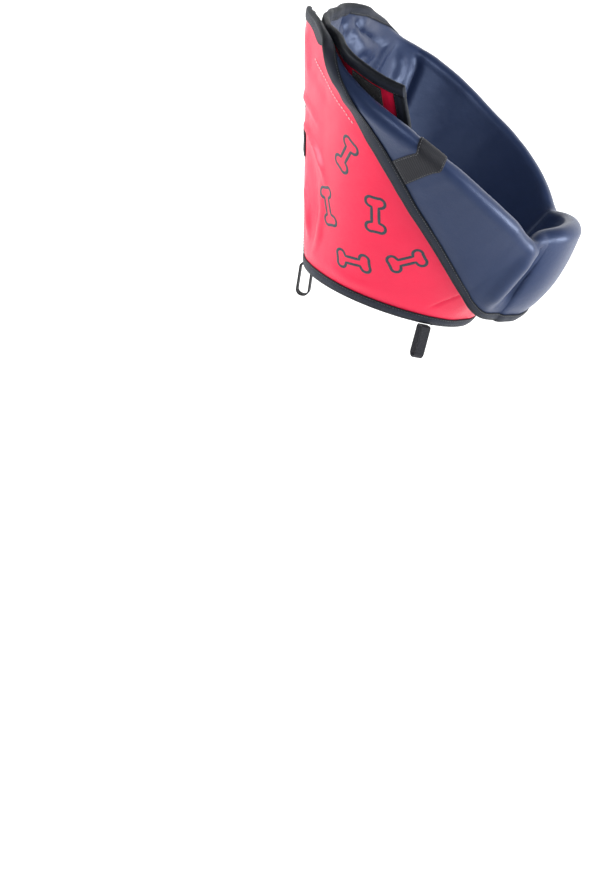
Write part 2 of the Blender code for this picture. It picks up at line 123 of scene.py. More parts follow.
AXIS = np.array((math.sin(NECK_LEAN), 0.0, math.cos(NECK_LEAN)))
THROAT = np.array((math.cos(NECK_LEAN), 0.0, -math.sin(NECK_LEAN)))
FAR_SIDE = np.array((0.0, 1.0, 0.0))
COVER_OUTER = GAP / 2 + COVER_WALL
LINING_OUTER = -GAP / 2 - LINING_WALL
LAP_TRIM = COVER_OUTER - LINING_OUTER + 2 * (GAP + max(TAPE_WALL, STRIP_WALL))
print("panel", DEPTH, "m deep on a neck of", NECK_LENGTH, "by", NECK_WIDTH, "m")

# %% Shape round the neck, one row for each angle from the throat
# Angles in degrees. fold and rim_up are shares of DEPTH. belly, and rim_lift above
# 0, are shares of CUFF_LIFT. rim_lift below 0 is a share of the roll's diameter.
SHAPE = np.array([
    # around, flare, fold, rim_turn, rim_up, rim_lift, belly
    (-190.0, 17.0, 1.000, 0.0, 1.000, 0.0, 0.0),
    (-165.0, 17.0, 0.995, 0.0, 0.995, 0.0, 0.0),
    (-150.0, 16.8, 0.982, 0.0, 0.982, 0.0, 0.0),
    (-136.0, 18.0, 0.962, 0.0, 0.962, 0.0, 0.0),
    (-128.0, 19.7, 0.940, 0.0, 0.940, 0.0, 0.0),
    (-120.0, 21.7, 0.914, -2.0, 0.905, -0.09, 0.0),
    (-112.0, 23.2, 0.886, -4.0, 0.865, -0.26, 0.0),
    (-104.0, 24.0, 0.855, -6.5, 0.815, -0.44, 0.0),
    (-92.0, 24.0, 0.805, -11.5, 0.720, -0.53, 0.0),
    (-80.0, 24.0, 0.745, -14.5, 0.610, -0.53, 0.0),
    (-66.0, 24.5, 0.665, -18.5, 0.500, -0.53, 0.0),
    (-48.0, 26.5, 0.570, -16.0, 0.325, -0.44, 0.0),
    (-36.0, 28.0, 0.500, -8.0, 0.200, 0.16, 0.05),
    (-24.0, 22.5, 0.500, -2.0, 0.147, 0.42, 0.08),
    (-12.0, 24.5, 0.530, 0.0, 0.155, 0.56, 0.22),
    (0.0, 25.0, 0.538, 0.0, 0.172, 0.60, 0.25),
    (12.0, 24.5, 0.530, 0.0, 0.155, 0.56, 0.22),
    (24.0, 22.5, 0.500, 2.0, 0.147, 0.42, 0.08),
    (36.0, 28.0, 0.500, 8.0, 0.200, 0.16, 0.05),
    (48.0, 26.5, 0.570, 16.0, 0.325, -0.44, 0.0),
    (66.0, 24.5, 0.665, 18.5, 0.500, -0.53, 0.0),
    (80.0, 24.0, 0.727, 14.5, 0.610, -0.53, 0.0),
    (92.0, 24.2, 0.780, 11.5, 0.722, -0.53, 0.0),
    (104.0, 25.5, 0.842, 6.5, 0.818, -0.44, 0.0),
    (116.0, 26.0, 0.907, 3.0, 0.905, -0.20, 0.0),
    (126.0, 23.0, 0.956, 1.0, 0.956, 0.0, 0.0),
    (140.0, 17.0, 0.988, 0.0, 0.988, 0.0, 0.0),
    (152.0, 15.5, 0.999, 0.0, 0.999, 0.0, 0.0),
    (164.0, 16.0, 1.000, 0.0, 1.000, 0.0, 0.0),
    (180.0, 16.5, 1.000, 0.0, 1.000, 0.0, 0.0),
    (205.0, 17.0, 1.000, 0.0, 1.000, 0.0, 0.0),
    (225.0, 19.0, 1.000, 0.0, 1.000, 0.0, 0.0),
    (241.0, 23.0, 1.000, 0.0, 1.000, 0.0, 0.0),
    (290.0, 24.0, 1.000, 0.0, 1.000, 0.0, 0.0),
])
AROUND, FLARE, FOLD, RIM_TURN, RIM_UP, RIM_LIFT, BELLY = range(7)
print(len(SHAPE), "angles in the pattern")

# %% [markdown]
# From a place on the cloth to a point in space
#
# A place is two numbers: the angle round the neck from the throat, and the height
# above the hem along the cloth. All the functions take whole arrays of places at
# once, because numpy then works out fifty thousand points in a moment, where a
# Python loop would take a minute.


# %% Smooth steps, directions and the standing wall
def ease(x):
    x = np.clip(x, 0.0, 1.0)
    return x * x * (3.0 - 2.0 * x)


def unit(v):
    return v / np.linalg.norm(v, axis=-1, keepdims=True)


def shape(around, column):
    """Smooth value of a SHAPE column, as a cubic curve through its rows."""
    xs, ys = SHAPE[:, AROUND], SHAPE[:, column]
    at = np.clip(around, xs[0], xs[-1])
    k = np.clip(np.searchsorted(xs, at) - 1, 0, len(xs) - 2)
    before, after = np.maximum(k - 1, 0), np.minimum(k + 2, len(xs) - 1)
    x0, x1, y0, y1 = xs[k], xs[k + 1], ys[k], ys[k + 1]
    slope0 = (y1 - ys[before]) / (x1 - xs[before])
    slope1 = (ys[after] - y0) / (xs[after] - x0)
    span = x1 - x0
    t = (at - x0) / span
    return (y0 * (1 + 2 * t) * (1 - t) ** 2 + slope0 * span * t * (1 - t) ** 2
            + y1 * t * t * (3 - 2 * t) - slope1 * span * t * t * (1 - t))


def radial(around):
    angle = np.radians(around)[..., None]
    return THROAT * np.cos(angle) + FAR_SIDE * np.sin(angle)


def hem(around):
    angle = np.radians(around)[..., None]
    return (THROAT * (NECK_LENGTH / 2 * np.cos(angle))
            + FAR_SIDE * (NECK_WIDTH / 2 * np.sin(angle)))


def standing(around, up):
    """The panel before its rim is folded."""
    around, up = np.broadcast_arrays(np.asarray(around, float), np.asarray(up, float))
    share = up / DEPTH
    flare = np.radians(shape(around, FLARE))[..., None]
    point = hem(around) + (AXIS * np.cos(flare) + radial(around) * np.sin(flare)) * up[..., None]
    room = LAP_ROOM_HEM + (LAP_ROOM_RIM - LAP_ROOM_HEM) * share
    inset = ease((around - 152.0) / 24.0) * (LAP_TRIM + room)
    tip = TIP_FLARE * ease((-140.0 - around) / 40.0) * share * share
    return point + radial(around) * (tip - inset)[..., None]


def reach(around, up):
    """Metres of cloth for each degree round the neck."""
    across = standing(around + 0.5, up) - standing(around - 0.5, up)
    return np.linalg.norm(across, axis=-1)


def under_end(up):
    return UNDER_END_HEM + (UNDER_END_RIM - UNDER_END_HEM) * up / DEPTH


print("reach at the hem and the rim, mm for a degree:",
      [round(float(reach(0.0, up)) * 1000, 2) for up in (0.0, DEPTH)])


# %% The fold that makes the cuff
def directions(surface, around, up, turn=0.3, step=0.0005):
    """Outward normal, direction to the rim and direction round the neck of a surface."""
    side = surface(around + turn, up) - surface(around - turn, up)
    rise = surface(around, up + step) - surface(around, up - step)
    return unit(np.cross(side, rise)), unit(rise), unit(side)


def panel(around, up):
    """Middle of the panel's thickness, with the rim rolled over and laid back."""
    around, up = np.broadcast_arrays(np.asarray(around, float), np.asarray(up, float))
    turn = shape(around, FOLD) * DEPTH
    rest = np.maximum(up - turn, 0.0)
    angle = np.minimum(rest / BEND_RADIUS, math.pi)
    over = np.maximum(rest - math.pi * BEND_RADIUS, 0.0)
    share = over / np.maximum(DEPTH - turn - math.pi * BEND_RADIUS, BEND_RADIUS)
    here_up = (np.minimum(up, turn) + BEND_RADIUS * np.sin(angle)
               + (shape(around, RIM_UP) * DEPTH - turn) * share)
    here_around = around + shape(around, RIM_TURN) * share
    rim_lift = shape(around, RIM_LIFT)
    lift = BEND_RADIUS * (1.0 - np.cos(angle))
    lift = lift + rim_lift * np.where(rim_lift > 0.0, CUFF_LIFT, 2.0 * BEND_RADIUS) * share
    lift = lift + CUFF_LIFT * shape(around, BELLY) * np.sin(math.pi * share)
    normal = directions(standing, here_around, here_up, 1.0, 0.002)[0]
    return standing(here_around, here_up) + normal * lift[..., None]


def cuff_share(around, up):
    """0 on the standing wall, rising to 1 past the roll."""
    rest = up - shape(around, FOLD) * DEPTH
    return ease(rest / (math.pi * BEND_RADIUS))


throat_rim = panel(0.0, DEPTH)
print("rim at the throat:", [round(float(v), 3) for v in throat_rim])

# %% [markdown]
# Wrinkles
#
# Nylon on thin foam never lies quite even. It swells between its seams, puckers
# beside a tape and breaks into sharp little ridges where it is bent two ways, as
# on the far shoulder of this collar. Cloth simulation could make such folds, but
# they would fall where they like. Here they are given: a smooth random field for
# the unevenness, and named ridges where the real collar has them.


# %% Random fields and ridges
def field(x, y, seed):
    """Smooth random values between -1 and 1 on a plane."""
    table = np.random.RandomState(seed).uniform(-1.0, 1.0, (64, 64))
    x, y = np.broadcast_arrays(np.asarray(x, float), np.asarray(y, float))
    i, j = np.floor(x).astype(int), np.floor(y).astype(int)
    fx, fy = ease(x - i), ease(y - j)
    low = table[i % 64, j % 64] * (1 - fx) + table[(i + 1) % 64, j % 64] * fx
    high = table[i % 64, (j + 1) % 64] * (1 - fx) + table[(i + 1) % 64, (j + 1) % 64] * fx
    return low * (1 - fy) + high * fy


def radius_at(up):
    """Rough radius of the cone at a height above the hem."""
    return 0.0893 + 0.40 * up


def metres_round(around, up):
    """Rough distance round the cloth from the throat, in metres."""
    return np.radians(around) * radius_at(up)


# Each ridge: its (around, up) points, half width and height in metres. A negative
# height is a hollow on the red side and a ridge on the navy side.
RIDGES = [
    ([(-172, 0.196), (-160, 0.192), (-150, 0.188), (-140, 0.180)], 0.0040, 0.0022),
    ([(-176, 0.184), (-164, 0.180), (-152, 0.174)], 0.0050, -0.0018),
    ([(-170, 0.166), (-156, 0.160), (-143, 0.150), (-135, 0.136), (-131, 0.122)], 0.0036, 0.0036),
    ([(-162, 0.150), (-150, 0.132), (-143, 0.110), (-140, 0.080), (-142, 0.050)], 0.0100, -0.0026),
    ([(-136, 0.118), (-133, 0.090), (-136, 0.050), (-142, 0.028)], 0.0046, 0.0028),
    ([(-160, 0.105), (-153, 0.070), (-150, 0.040)], 0.0042, 0.0032),
    ([(-162, 0.270), (-158, 0.245), (-156, 0.222)], 0.0070, 0.0022),
    ([(-150, 0.232), (-140, 0.226), (-128, 0.215)], 0.0060, -0.0012),
    ([(-58, 0.022), (-52, 0.036), (-44, 0.056)], 0.0022, -0.0014),
    ([(-125, 0.030), (-108, 0.022), (-92, 0.026)], 0.0060, 0.0010),
    ([(160, 0.283), (156, 0.255), (158, 0.225)], 0.0035, 0.0024),
    ([(150, 0.278), (143, 0.262), (134, 0.258), (126, 0.252)], 0.0040, 0.0040),
    ([(150, 0.262), (141, 0.244), (128, 0.236)], 0.0060, -0.0034),
    ([(122, 0.262), (126, 0.244), (130, 0.224), (133, 0.200)], 0.0042, -0.0034),
    ([(112, 0.262), (111, 0.242), (112, 0.218), (114, 0.180)], 0.0040, 0.0048),
    ([(118, 0.256), (117, 0.238), (118, 0.215)], 0.0050, -0.0026),
    ([(168, 0.262), (160, 0.238), (148, 0.224), (138, 0.205)], 0.0045, -0.0028),
    ([(-38, 0.165), (-36.5, 0.185), (-35.4, 0.208), (-34.2, 0.235), (-33.3, 0.258),
      (-32.4, 0.276)], 0.0060, -0.0058),
    ([(-33, 0.150), (-31, 0.168), (-30.5, 0.190), (-29.6, 0.210), (-28.8, 0.235), (-28.6, 0.256),
      (-28.4, 0.266)], 0.0078, 0.0098),
]


def ridge(around, up, path, half_width, height):
    """A soft ridge along a path on the cloth, dying away at both its ends."""
    x, y = metres_round(around, up), up
    knots = [(float(metres_round(a, u)), u) for a, u in path]
    whole = sum(math.dist(a, b) for a, b in zip(knots, knots[1:]))
    nearest = np.full(np.shape(x), 9.0)
    passed = np.zeros(np.shape(x))
    gone = 0.0
    for a, b in zip(knots, knots[1:]):
        length = math.dist(a, b)
        t = np.clip(((x - a[0]) * (b[0] - a[0]) + (y - a[1]) * (b[1] - a[1])) / length ** 2, 0, 1)
        away = np.hypot(x - a[0] - t * (b[0] - a[0]), y - a[1] - t * (b[1] - a[1]))
        passed = np.where(away < nearest, (gone + t * length) / whole, passed)
        nearest = np.minimum(away, nearest)
        gone += length
    fade = ease(passed / 0.25) * ease((1.0 - passed) / 0.25)
    return height * np.exp(-(nearest / half_width) ** 2) * (0.25 + 0.75 * fade)


def relief(around, up):
    """Height of the cloth's unevenness over its smooth form, in metres."""
    x = metres_round(around, up)
    # the whole panel is a little uneven, less so near the hem
    loose = ease((up - 0.01) / 0.10)
    height = 0.0009 * loose * field(x / 0.060, up / 0.075, 1)
    height = height + 0.00035 * loose * field(x / 0.017 + 7.0, up / 0.026, 2)
    # the standing arch behind the head is crumpled
    arch = ease((around - 112) / 16) * ease((232 - around) / 24) * ease((up - 0.10) / 0.10)
    arch = arch * (1 - cuff_share(around, up))
    broken = 1.0 - 2.0 * np.abs(field(x / 0.036 + up / 0.08, up / 0.044 + 3.0, 3))
    height = height + 0.0021 * arch * broken
    # the near cuff puckers at its narrow end, where it leaves the standing tip
    rolled = ease((around + 150) / 16) * ease((-92 - around) / 14) * ease((up - 0.235) / 0.02)
    height = height + 0.0005 * rolled * field(x / 0.020 + up / 0.012, up / 0.050, 4)
    # the roll swells on the far shoulder: there, less than 0 is away from its middle
    rest = (up - shape(around, FOLD) * DEPTH) / (math.pi * BEND_RADIUS)
    roll = np.sin(math.pi * np.clip(rest, 0, 1))
    height = height - 0.0055 * roll * ease((around - 78) / 24) * ease((124 - around) / 20)
    # the cuff stands out a little at the throat
    throat = ease((28 - np.abs(around + 4)) / 12)
    height = height - 0.0012 * throat * ease((rest - 0.5) / 0.7) * ease((DEPTH - 0.01 - up) / 0.05)
    # the tip and the arch curl inward at the rim
    curl = ease((up - 0.250) / 0.050)
    height = height - 0.0060 * curl * ease((-150 - around) / 34)
    height = height - 0.0052 * curl * ease((around - 150) / 20) * ease((215 - around) / 25)
    for path, half_width, size in RIDGES:
        height = height + ridge(around, up, path, half_width, size)
    return height


# How far the panel's corners and its arch sink below the pattern's line
CORNER_DROP, ARCH_DROP, INNER_CORNER_DROP = 0.011, 0.0025, 0.0085


def cloth(around, up):
    """Middle of the panel with its wrinkles."""
    around, up = np.broadcast_arrays(np.asarray(around, float), np.asarray(up, float))
    sink = CORNER_DROP * ease((-164.5 - around) / 15.5)
    sink = sink + ARCH_DROP * ease((around - 140) / 25) * ease((225 - around) / 25)
    sink = sink + INNER_CORNER_DROP * ease((around - 234) / 24)
    up = up - sink * ease((up - 0.235) / 0.055)
    normal = directions(panel, around, up)[0]
    return panel(around, up) + normal * relief(around, up)[..., None]


sample = relief(np.linspace(-180.0, 250.0, 400)[:, None], np.linspace(0.0, DEPTH, 60)[None, :])
print("wrinkles, mm:", [round(float(v) * 1000, 1) for v in (sample.min(), sample.max())])

# %% [markdown]
# Padding
#
# The foam swells the cloth between its seams and is squeezed flat under a tape or
# a sewn strip. So the thickness is a distance rule: nothing at a seam, and nearly
# a millimetre on each face a finger's width away from it.

# %% Thickness of the padding
PUFF = 0.0009
# The cross band runs aslant on the laid-back cuff and straight over the roll
BAND_SLANT, BAND_STRAIGHT_BELOW = 0.31, 0.250


def around_at(anchor, inset, up):
    """Angle of a line that keeps a fixed distance in metres from an end or the band's middle."""
    up = np.asarray(up, float)
    if anchor == "over end":
        return OVER_END + inset / reach(OVER_END, up)
    if anchor == "under the over end":
        return OVER_END + 360.0 + inset / reach(OVER_END, up)
    if anchor == "patch":
        slant = BAND_SLANT * (np.maximum(up, BAND_STRAIGHT_BELOW) - 0.260)
        return PATCH_AROUND + (inset + slant) / reach(PATCH_AROUND, up)
    return under_end(up) - inset / reach(UNDER_END_HEM, up)


# Sewn strips on each face: anchor, insets from it, and heights above the hem
PATCH_STOP = DEPTH - TAPE_LEG - GAP
STRIPS = {
    "hook_strip": ("over end", HOOK_INSET, HOOK_INSET + STRIP_WIDTH, STRIP_START, STRIP_STOP, -1),
    "pile_strip": ("under the over end", HOOK_INSET, HOOK_INSET + STRIP_WIDTH, STRIP_START, STRIP_STOP, 1),
    "spare_pile_strip": ("under end", PILE_INSET - 0.006, PILE_INSET + STRIP_WIDTH + 0.007,
                         STRIP_START, STRIP_STOP + 0.007, 1),
    "cuff_band": ("patch", -PATCH_WIDTH / 2, PATCH_WIDTH / 2, PATCH_STOP - PATCH_LENGTH, PATCH_STOP, -1),
    "pull_tab": ("over end", HOOK_INSET, HOOK_INSET + STRIP_WIDTH / 2, TAB_START, TAB_START + TAB_LENGTH, 1),
}


def from_edge(around, up):
    """Distance along the cloth to the panel's nearest edge."""
    scale = np.radians(radius_at(up))
    ends = np.minimum((around - OVER_END) * scale, (under_end(up) - around) * scale)
    return np.minimum(np.minimum(up, DEPTH - up), ends)


def puff(around, up, side):
    """Swell of the padding on the cover (side 1) or the lining (side -1)."""
    free = ease((from_edge(around, up) - 0.8 * TAPE_LEG) / 0.018)
    for anchor, low, high, start, stop, face in STRIPS.values():
        if face != side:
            continue
        first, last = sorted((around_at(anchor, low, up), around_at(anchor, high, up)), key=np.min)
        scale = np.radians(radius_at(up))
        beside = np.maximum(np.maximum(first - around, around - last) * scale, 0.0)
        past = np.maximum(np.maximum(start - up, up - stop), 0.0)
        free = free * ease((np.hypot(beside, past) - 0.001) / 0.012)
    return PUFF * free


def above(side, height):
    """Offset from the middle of the panel at a height above its cover or its lining."""
    return COVER_OUTER + height if side > 0 else LINING_OUTER - height


def on_face(around, up, side, height):
    """A point at a height above the swollen cover (side 1) or lining (side -1)."""
    around, up = np.broadcast_arrays(np.asarray(around, float), np.asarray(up, float))
    normal = directions(cloth, around, up)[0]
    offset = above(side, height) + side * puff(around, up, side)
    return cloth(around, up) + normal * np.asarray(offset)[..., None]


print("thickest at", round((COVER_OUTER - LINING_OUTER + 2 * PUFF) * 1000, 1), "mm")


# %% [markdown]
# Turning points into meshes
#
# Two builders serve every piece. A wall joins an outer and an inner grid of
# points into a closed sheet with a real thickness. A tube joins rings of points,
# as for a tape folded over an edge. Each vertex also keeps its place on the flat
# cloth in metres, in an attribute named weave, so that threads can run along the
# real piece and not along the world's axes. Its third value is a distance to the
# nearest edge or fold, which the cloth and the binding tape use for painted shade.


# %% Mesh builders
def finish_mesh(name, points, faces, weave, material, crisp=35.0):
    mesh = bpy.data.meshes.new(name)
    mesh.from_pydata(np.asarray(points, float).tolist(), [], faces)
    stored = mesh.attributes.new("weave", "FLOAT_VECTOR", "POINT")
    stored.data.foreach_set("vector", np.asarray(weave, np.float32).ravel())
    solid = bmesh.new()
    solid.from_mesh(mesh)
    bmesh.ops.recalc_face_normals(solid, faces=solid.faces)
    solid.to_mesh(mesh)
    solid.free()
    mesh.materials.append(material)
    mesh.shade_smooth()
    mesh.set_sharp_from_angle(angle=math.radians(crisp))
    piece = bpy.data.objects.new(name, mesh)
    bpy.context.scene.collection.objects.link(piece)
    return piece


def quads(cell):
    """Four-sided faces over a grid of vertex numbers."""
    corners = (cell[:-1, :-1], cell[1:, :-1], cell[1:, 1:], cell[:-1, 1:])
    return np.stack([c.ravel() for c in corners], axis=1)


def wall(name, outer, inner, weave, material):
    """A closed sheet between two grids of points."""
    n, m = outer.shape[:2]
    points = np.concatenate([outer.reshape(-1, 3), inner.reshape(-1, 3)])
    cell = np.arange(n * m).reshape(n, m)
    faces = quads(cell)
    faces = np.concatenate([faces, faces[:, ::-1] + n * m])
    border = np.concatenate([cell[:, 0], cell[-1, 1:], cell[-2::-1, -1], cell[0, -2::-1]])
    sides = np.stack([border[:-1], border[:-1] + n * m, border[1:] + n * m, border[1:]], axis=1)
    faces = np.concatenate([faces, sides]).tolist()
    return finish_mesh(name, points, faces, np.concatenate([weave.reshape(-1, 3)] * 2), material)


def tube(name, rings, weave, material, closed=False):
    """A skin over rings of points, capped at both ends or closed into a loop."""
    n, k = rings.shape[:2]
    cell = np.arange(n * k).reshape(n, k)
    if closed:
        cell = np.concatenate([cell, cell[:1]])
    onward = np.roll(cell, -1, axis=1)
    faces = np.stack([cell[:-1].ravel(), cell[1:].ravel(), onward[1:].ravel(), onward[:-1].ravel()], axis=1)
    faces = faces.tolist()
    if not closed:
        faces += [cell[0, ::-1].tolist(), cell[-1].tolist()]
    return finish_mesh(name, rings.reshape(-1, 3), faces, weave.reshape(-1, 3), material)


def flat_place(around, up):
    """Place on the flat pattern, which is part of a ring, with the distance to its edge."""
    radius = NECK_LENGTH / 2 / math.sin(math.radians(24.0)) + up
    angle = np.radians(around) * math.sin(math.radians(24.0))
    return np.stack([radius * np.sin(angle), radius * np.cos(angle), from_edge(around, up)], axis=-1)


print("builders ready")

# %% [markdown]
# Cloth, tape and thread
#
# Every finish here is woven, so each is built from the same idea at another
# scale: two crossing waves for the threads, read from the weave attribute, a bump
# from them, and slow noise that shifts the colour a little. Nylon gets a low
# roughness and a sheen, tape gets deeper ribs, and pile gets no gloss at all. A
# photograph as a texture would be quicker, but it would stretch and repeat.


# %% Node helpers and the woven finishes
def new_material(name, colour, roughness, sheen, tint, specular):
    """A plain finish. tint colours its gloss and its sheen, as dyed thread does."""
    material = bpy.data.materials.new(name)
    material.use_nodes = True
    shader = material.node_tree.nodes["Principled BSDF"]
    for key, value in (("Base Color", (*colour, 1.0)), ("Roughness", roughness), ("Sheen Weight", sheen),
                       ("Sheen Roughness", 0.45), ("Sheen Tint", (*tint, 1.0)),
                       ("Specular Tint", (*tint, 1.0)), ("Specular IOR Level", specular)):
        shader.inputs[key].default_value = value
    return material, material.node_tree, shader


def node(tree, kind, settings=None, **inputs):
    """A node with its inputs set or linked. An underscore stands for a space in an input's name."""
    made = tree.nodes.new(kind)
    for key, value in (settings or {}).items():
        setattr(made, key, value)
    for key, value in inputs.items():
        socket = made.inputs[int(key[1:])] if key[1:].isdigit() else made.inputs[key.replace("_", " ")]
        if isinstance(value, bpy.types.NodeSocket):
            tree.links.new(value, socket)
        else:
            socket.default_value = value
    return made


def product(tree, a, b):
    return node(tree, "ShaderNodeMath", {"operation": "MULTIPLY"}, _0=a, _1=b).outputs[0]


def mottle(tree, noise, shift):
    """Slow noise as a factor that wavers round 1."""
    return node(tree, "ShaderNodeMapRange", Value=noise, From_Min=0.3, From_Max=0.7,
                To_Min=1.0 - shift, To_Max=1.0 + shift).outputs[0]


def paint(tree, shader, colour, tone):
    painted = node(tree, "ShaderNodeVectorMath", {"operation": "SCALE"}, _0=colour, Scale=tone)
    tree.links.new(painted.outputs[0], shader.inputs["Base Color"])


def threads(tree, place, pitch, direction):
    """Ridges of thread across one direction of the cloth, as a value from 0 to 1."""
    wave = node(tree, "ShaderNodeTexWave", {"bands_direction": direction, "wave_profile": "SIN"},
                Vector=place, Scale=2.0 * math.pi / 20.0 / pitch, Distortion=0.0)
    return wave.outputs["Fac"]


def woven(name, colour, pitch, depth, roughness, sheen=0.3, tint=(1.0, 1.0, 1.0), specular=0.5,
          ribs=1.0, shift=0.06, crinkle=0.0, painted_seam_shade=0.0, seam=(TAPE_LEG * 0.8, TAPE_LEG + 0.007)):
    """A woven finish. pitch is one thread's width along and across, depth its bump, both in metres."""
    material, tree, shader = new_material(name, colour, roughness, sheen, tint, specular)
    place = node(tree, "ShaderNodeAttribute", {"attribute_name": "weave"}).outputs["Vector"]
    cross = product(tree, threads(tree, place, pitch, "X"), threads(tree, place, pitch * ribs, "Y"))
    lay = node(tree, "ShaderNodeBump", Height=cross, Distance=depth, Strength=1.0).outputs[0]
    if crinkle:
        rough = node(tree, "ShaderNodeTexNoise", Vector=place, Scale=95.0, Detail=3.0, Roughness=0.55)
        lay = node(tree, "ShaderNodeBump", Height=rough.outputs["Fac"], Distance=crinkle, Normal=lay,
                   Strength=1.0).outputs[0]
    tree.links.new(lay, shader.inputs["Normal"])
    slow = node(tree, "ShaderNodeTexNoise", Vector=place, Scale=9.0, Detail=4.0).outputs["Fac"]
    grain = node(tree, "ShaderNodeMapRange", Value=cross, To_Min=1.0 - shift * 0.8, To_Max=1.0 + shift * 0.4)
    tone = product(tree, mottle(tree, slow, shift), grain.outputs[0])
    # painted shade: the colour darkens near the nearest edge, beside the tapes on the cloth, and at the leg
    # edges and the fold of the tape
    if painted_seam_shade:
        edge = node(tree, "ShaderNodeSeparateXYZ", Vector=place).outputs["Z"]
        dark = node(tree, "ShaderNodeMapRange", {"interpolation_type": "SMOOTHSTEP"}, Value=edge,
                    From_Min=seam[0], From_Max=seam[1], To_Min=1.0 - painted_seam_shade, To_Max=1.0)
        tone = product(tree, tone, dark.outputs[0])
    paint(tree, shader, colour, tone)
    return material


# painted shade: the cloth darkens beside its tapes, and the tape darkens at its leg edges and its fold
red_nylon = woven("red_nylon", (0.71, 0.0095, 0.050), 0.0007, 0.00004, 0.38, sheen=0.08,
                  tint=(1.0, 0.50, 0.66), specular=0.42, crinkle=0.00022, painted_seam_shade=0.18)
navy_nylon = woven("navy_nylon", (0.0082, 0.0165, 0.051), 0.0007, 0.00004, 0.36, sheen=0.08,
                   tint=(0.54, 0.67, 1.0), specular=0.44, crinkle=0.00025, painted_seam_shade=0.15)
edge_tape = woven("black_edge_tape", (0.0110, 0.0125, 0.0205), 0.0013, 0.00016, 0.55, sheen=0.05,
                  tint=(0.72, 0.82, 1.0), specular=0.22, ribs=0.5, shift=0.15, painted_seam_shade=0.85,
                  seam=(0.0004, 0.0042))
webbing = woven("black_webbing", (0.0085, 0.0095, 0.0145), 0.0019, 0.00022, 0.60, sheen=0.06,
                specular=0.22, ribs=0.55, shift=0.2)
pile_ground = woven("black_pile_ground", (0.016, 0.016, 0.019), 0.0011, 0.00018, 0.95, sheen=0.5,
                    specular=0.15, shift=0.2)
print("woven finishes:", [m.name for m in (red_nylon, navy_nylon, edge_tape, webbing, pile_ground)])


# %% [markdown]
# Thread, fibre and ink
#
# Stitches and fibres are only a few pixels long, so they need a plain finish with
# a little variation. The print is a rubbery ink that lies on the cloth.


# %% Small finishes
def speckled(name, colour, roughness, scale, shift, sheen=0.0, specular=0.4):
    material, tree, shader = new_material(name, colour, roughness, sheen, (1.0, 1.0, 1.0), specular)
    place = node(tree, "ShaderNodeTexCoord").outputs["Object"]
    noise = node(tree, "ShaderNodeTexNoise", Vector=place, Scale=scale, Detail=2.0).outputs["Fac"]
    paint(tree, shader, colour, mottle(tree, noise, shift))
    bump = node(tree, "ShaderNodeBump", Height=noise, Distance=0.0001, Strength=0.5)
    tree.links.new(bump.outputs[0], shader.inputs["Normal"])
    return material


dark_thread = speckled("dark_thread", (0.045, 0.050, 0.058), 0.55, 700.0, 0.3, sheen=0.3)
pale_thread = speckled("pale_thread", (1.0, 0.60, 0.64), 0.45, 700.0, 0.12, sheen=0.3)
fibre = speckled("black_fibre", (0.020, 0.020, 0.024), 0.7, 900.0, 0.4, sheen=0.4)
ink = speckled("dark_print_ink", (0.010, 0.026, 0.038), 0.50, 260.0, 0.3)
print("small finishes made")

# %% [markdown]
# The two cloths
#
# The cover and the lining are cut alike and sewn together round their edges with
# foam between them. One grid of places on the flat panel gives both, a few
# tenths of a millimetre apart in the middle of the thickness, so that they can
# never cut through each other however the panel bends.

# %% Cover and lining
COLUMNS, ROWS = 470, 102
# Where the columns stand closer, for the sharp folds: around, spread, extra density
CLOSE_AT = ((-33.0, 9.0, 2.2), (128.0, 14.0, 0.8))


def panel_grid():
    fine = np.linspace(OVER_END, UNDER_END_HEM, 4000)
    dense = 1.0 + sum(extra * np.exp(-((fine - at) / spread) ** 2) for at, spread, extra in CLOSE_AT)
    passed = np.cumsum(dense) - dense[0]
    along = np.interp(np.linspace(0.0, passed[-1], COLUMNS), passed, np.linspace(0.0, 1.0, 4000))[:, None]
    up = DEPTH * np.linspace(0.0, 1.0, ROWS)[None, :]
    around = OVER_END + along * (under_end(up) - OVER_END)
    return around, np.broadcast_to(up, around.shape)


def cloth_piece(name, side, material):
    around, up = panel_grid()
    middle = cloth(around, up)
    normal = unit(np.cross(np.gradient(middle, axis=0), np.gradient(middle, axis=1)))
    face = above(side, 0.0) + side * puff(around, up, side)
    outer = middle + normal * face[..., None]
    inner = middle + normal * (side * GAP / 2)
    return wall(name, outer, inner, flat_place(around, up), material)


cover = cloth_piece("red_cover", 1, red_nylon)
lining = cloth_piece("navy_lining", -1, navy_nylon)
print("cover and lining faces:", len(cover.data.polygons), len(lining.data.polygons))

# %% [markdown]
# Binding tape
#
# A ribbed black tape is folded over each raw edge and sewn through. It could be a
# bevelled curve, but a curve can't fold round an edge of changing direction. So
# for each place along the edge a section is drawn: down one face, round the edge
# in a half ellipse, up the other face, and back inside at the tape's thickness.

# %% Tape round the four edges
LEG_STEPS = np.linspace(TAPE_LEG, 0.0, 9)
TAPE_PLUMP = 0.0007           # how far the middle of each leg stands up
TAPE_WAVER, WAVER_PITCH = 0.00016, 0.009
TAPE_BEND = 0.004             # half of the tape's width that goes round the edge
BEND_STEPS = np.linspace(0.0, math.pi, 11)[1:-1]


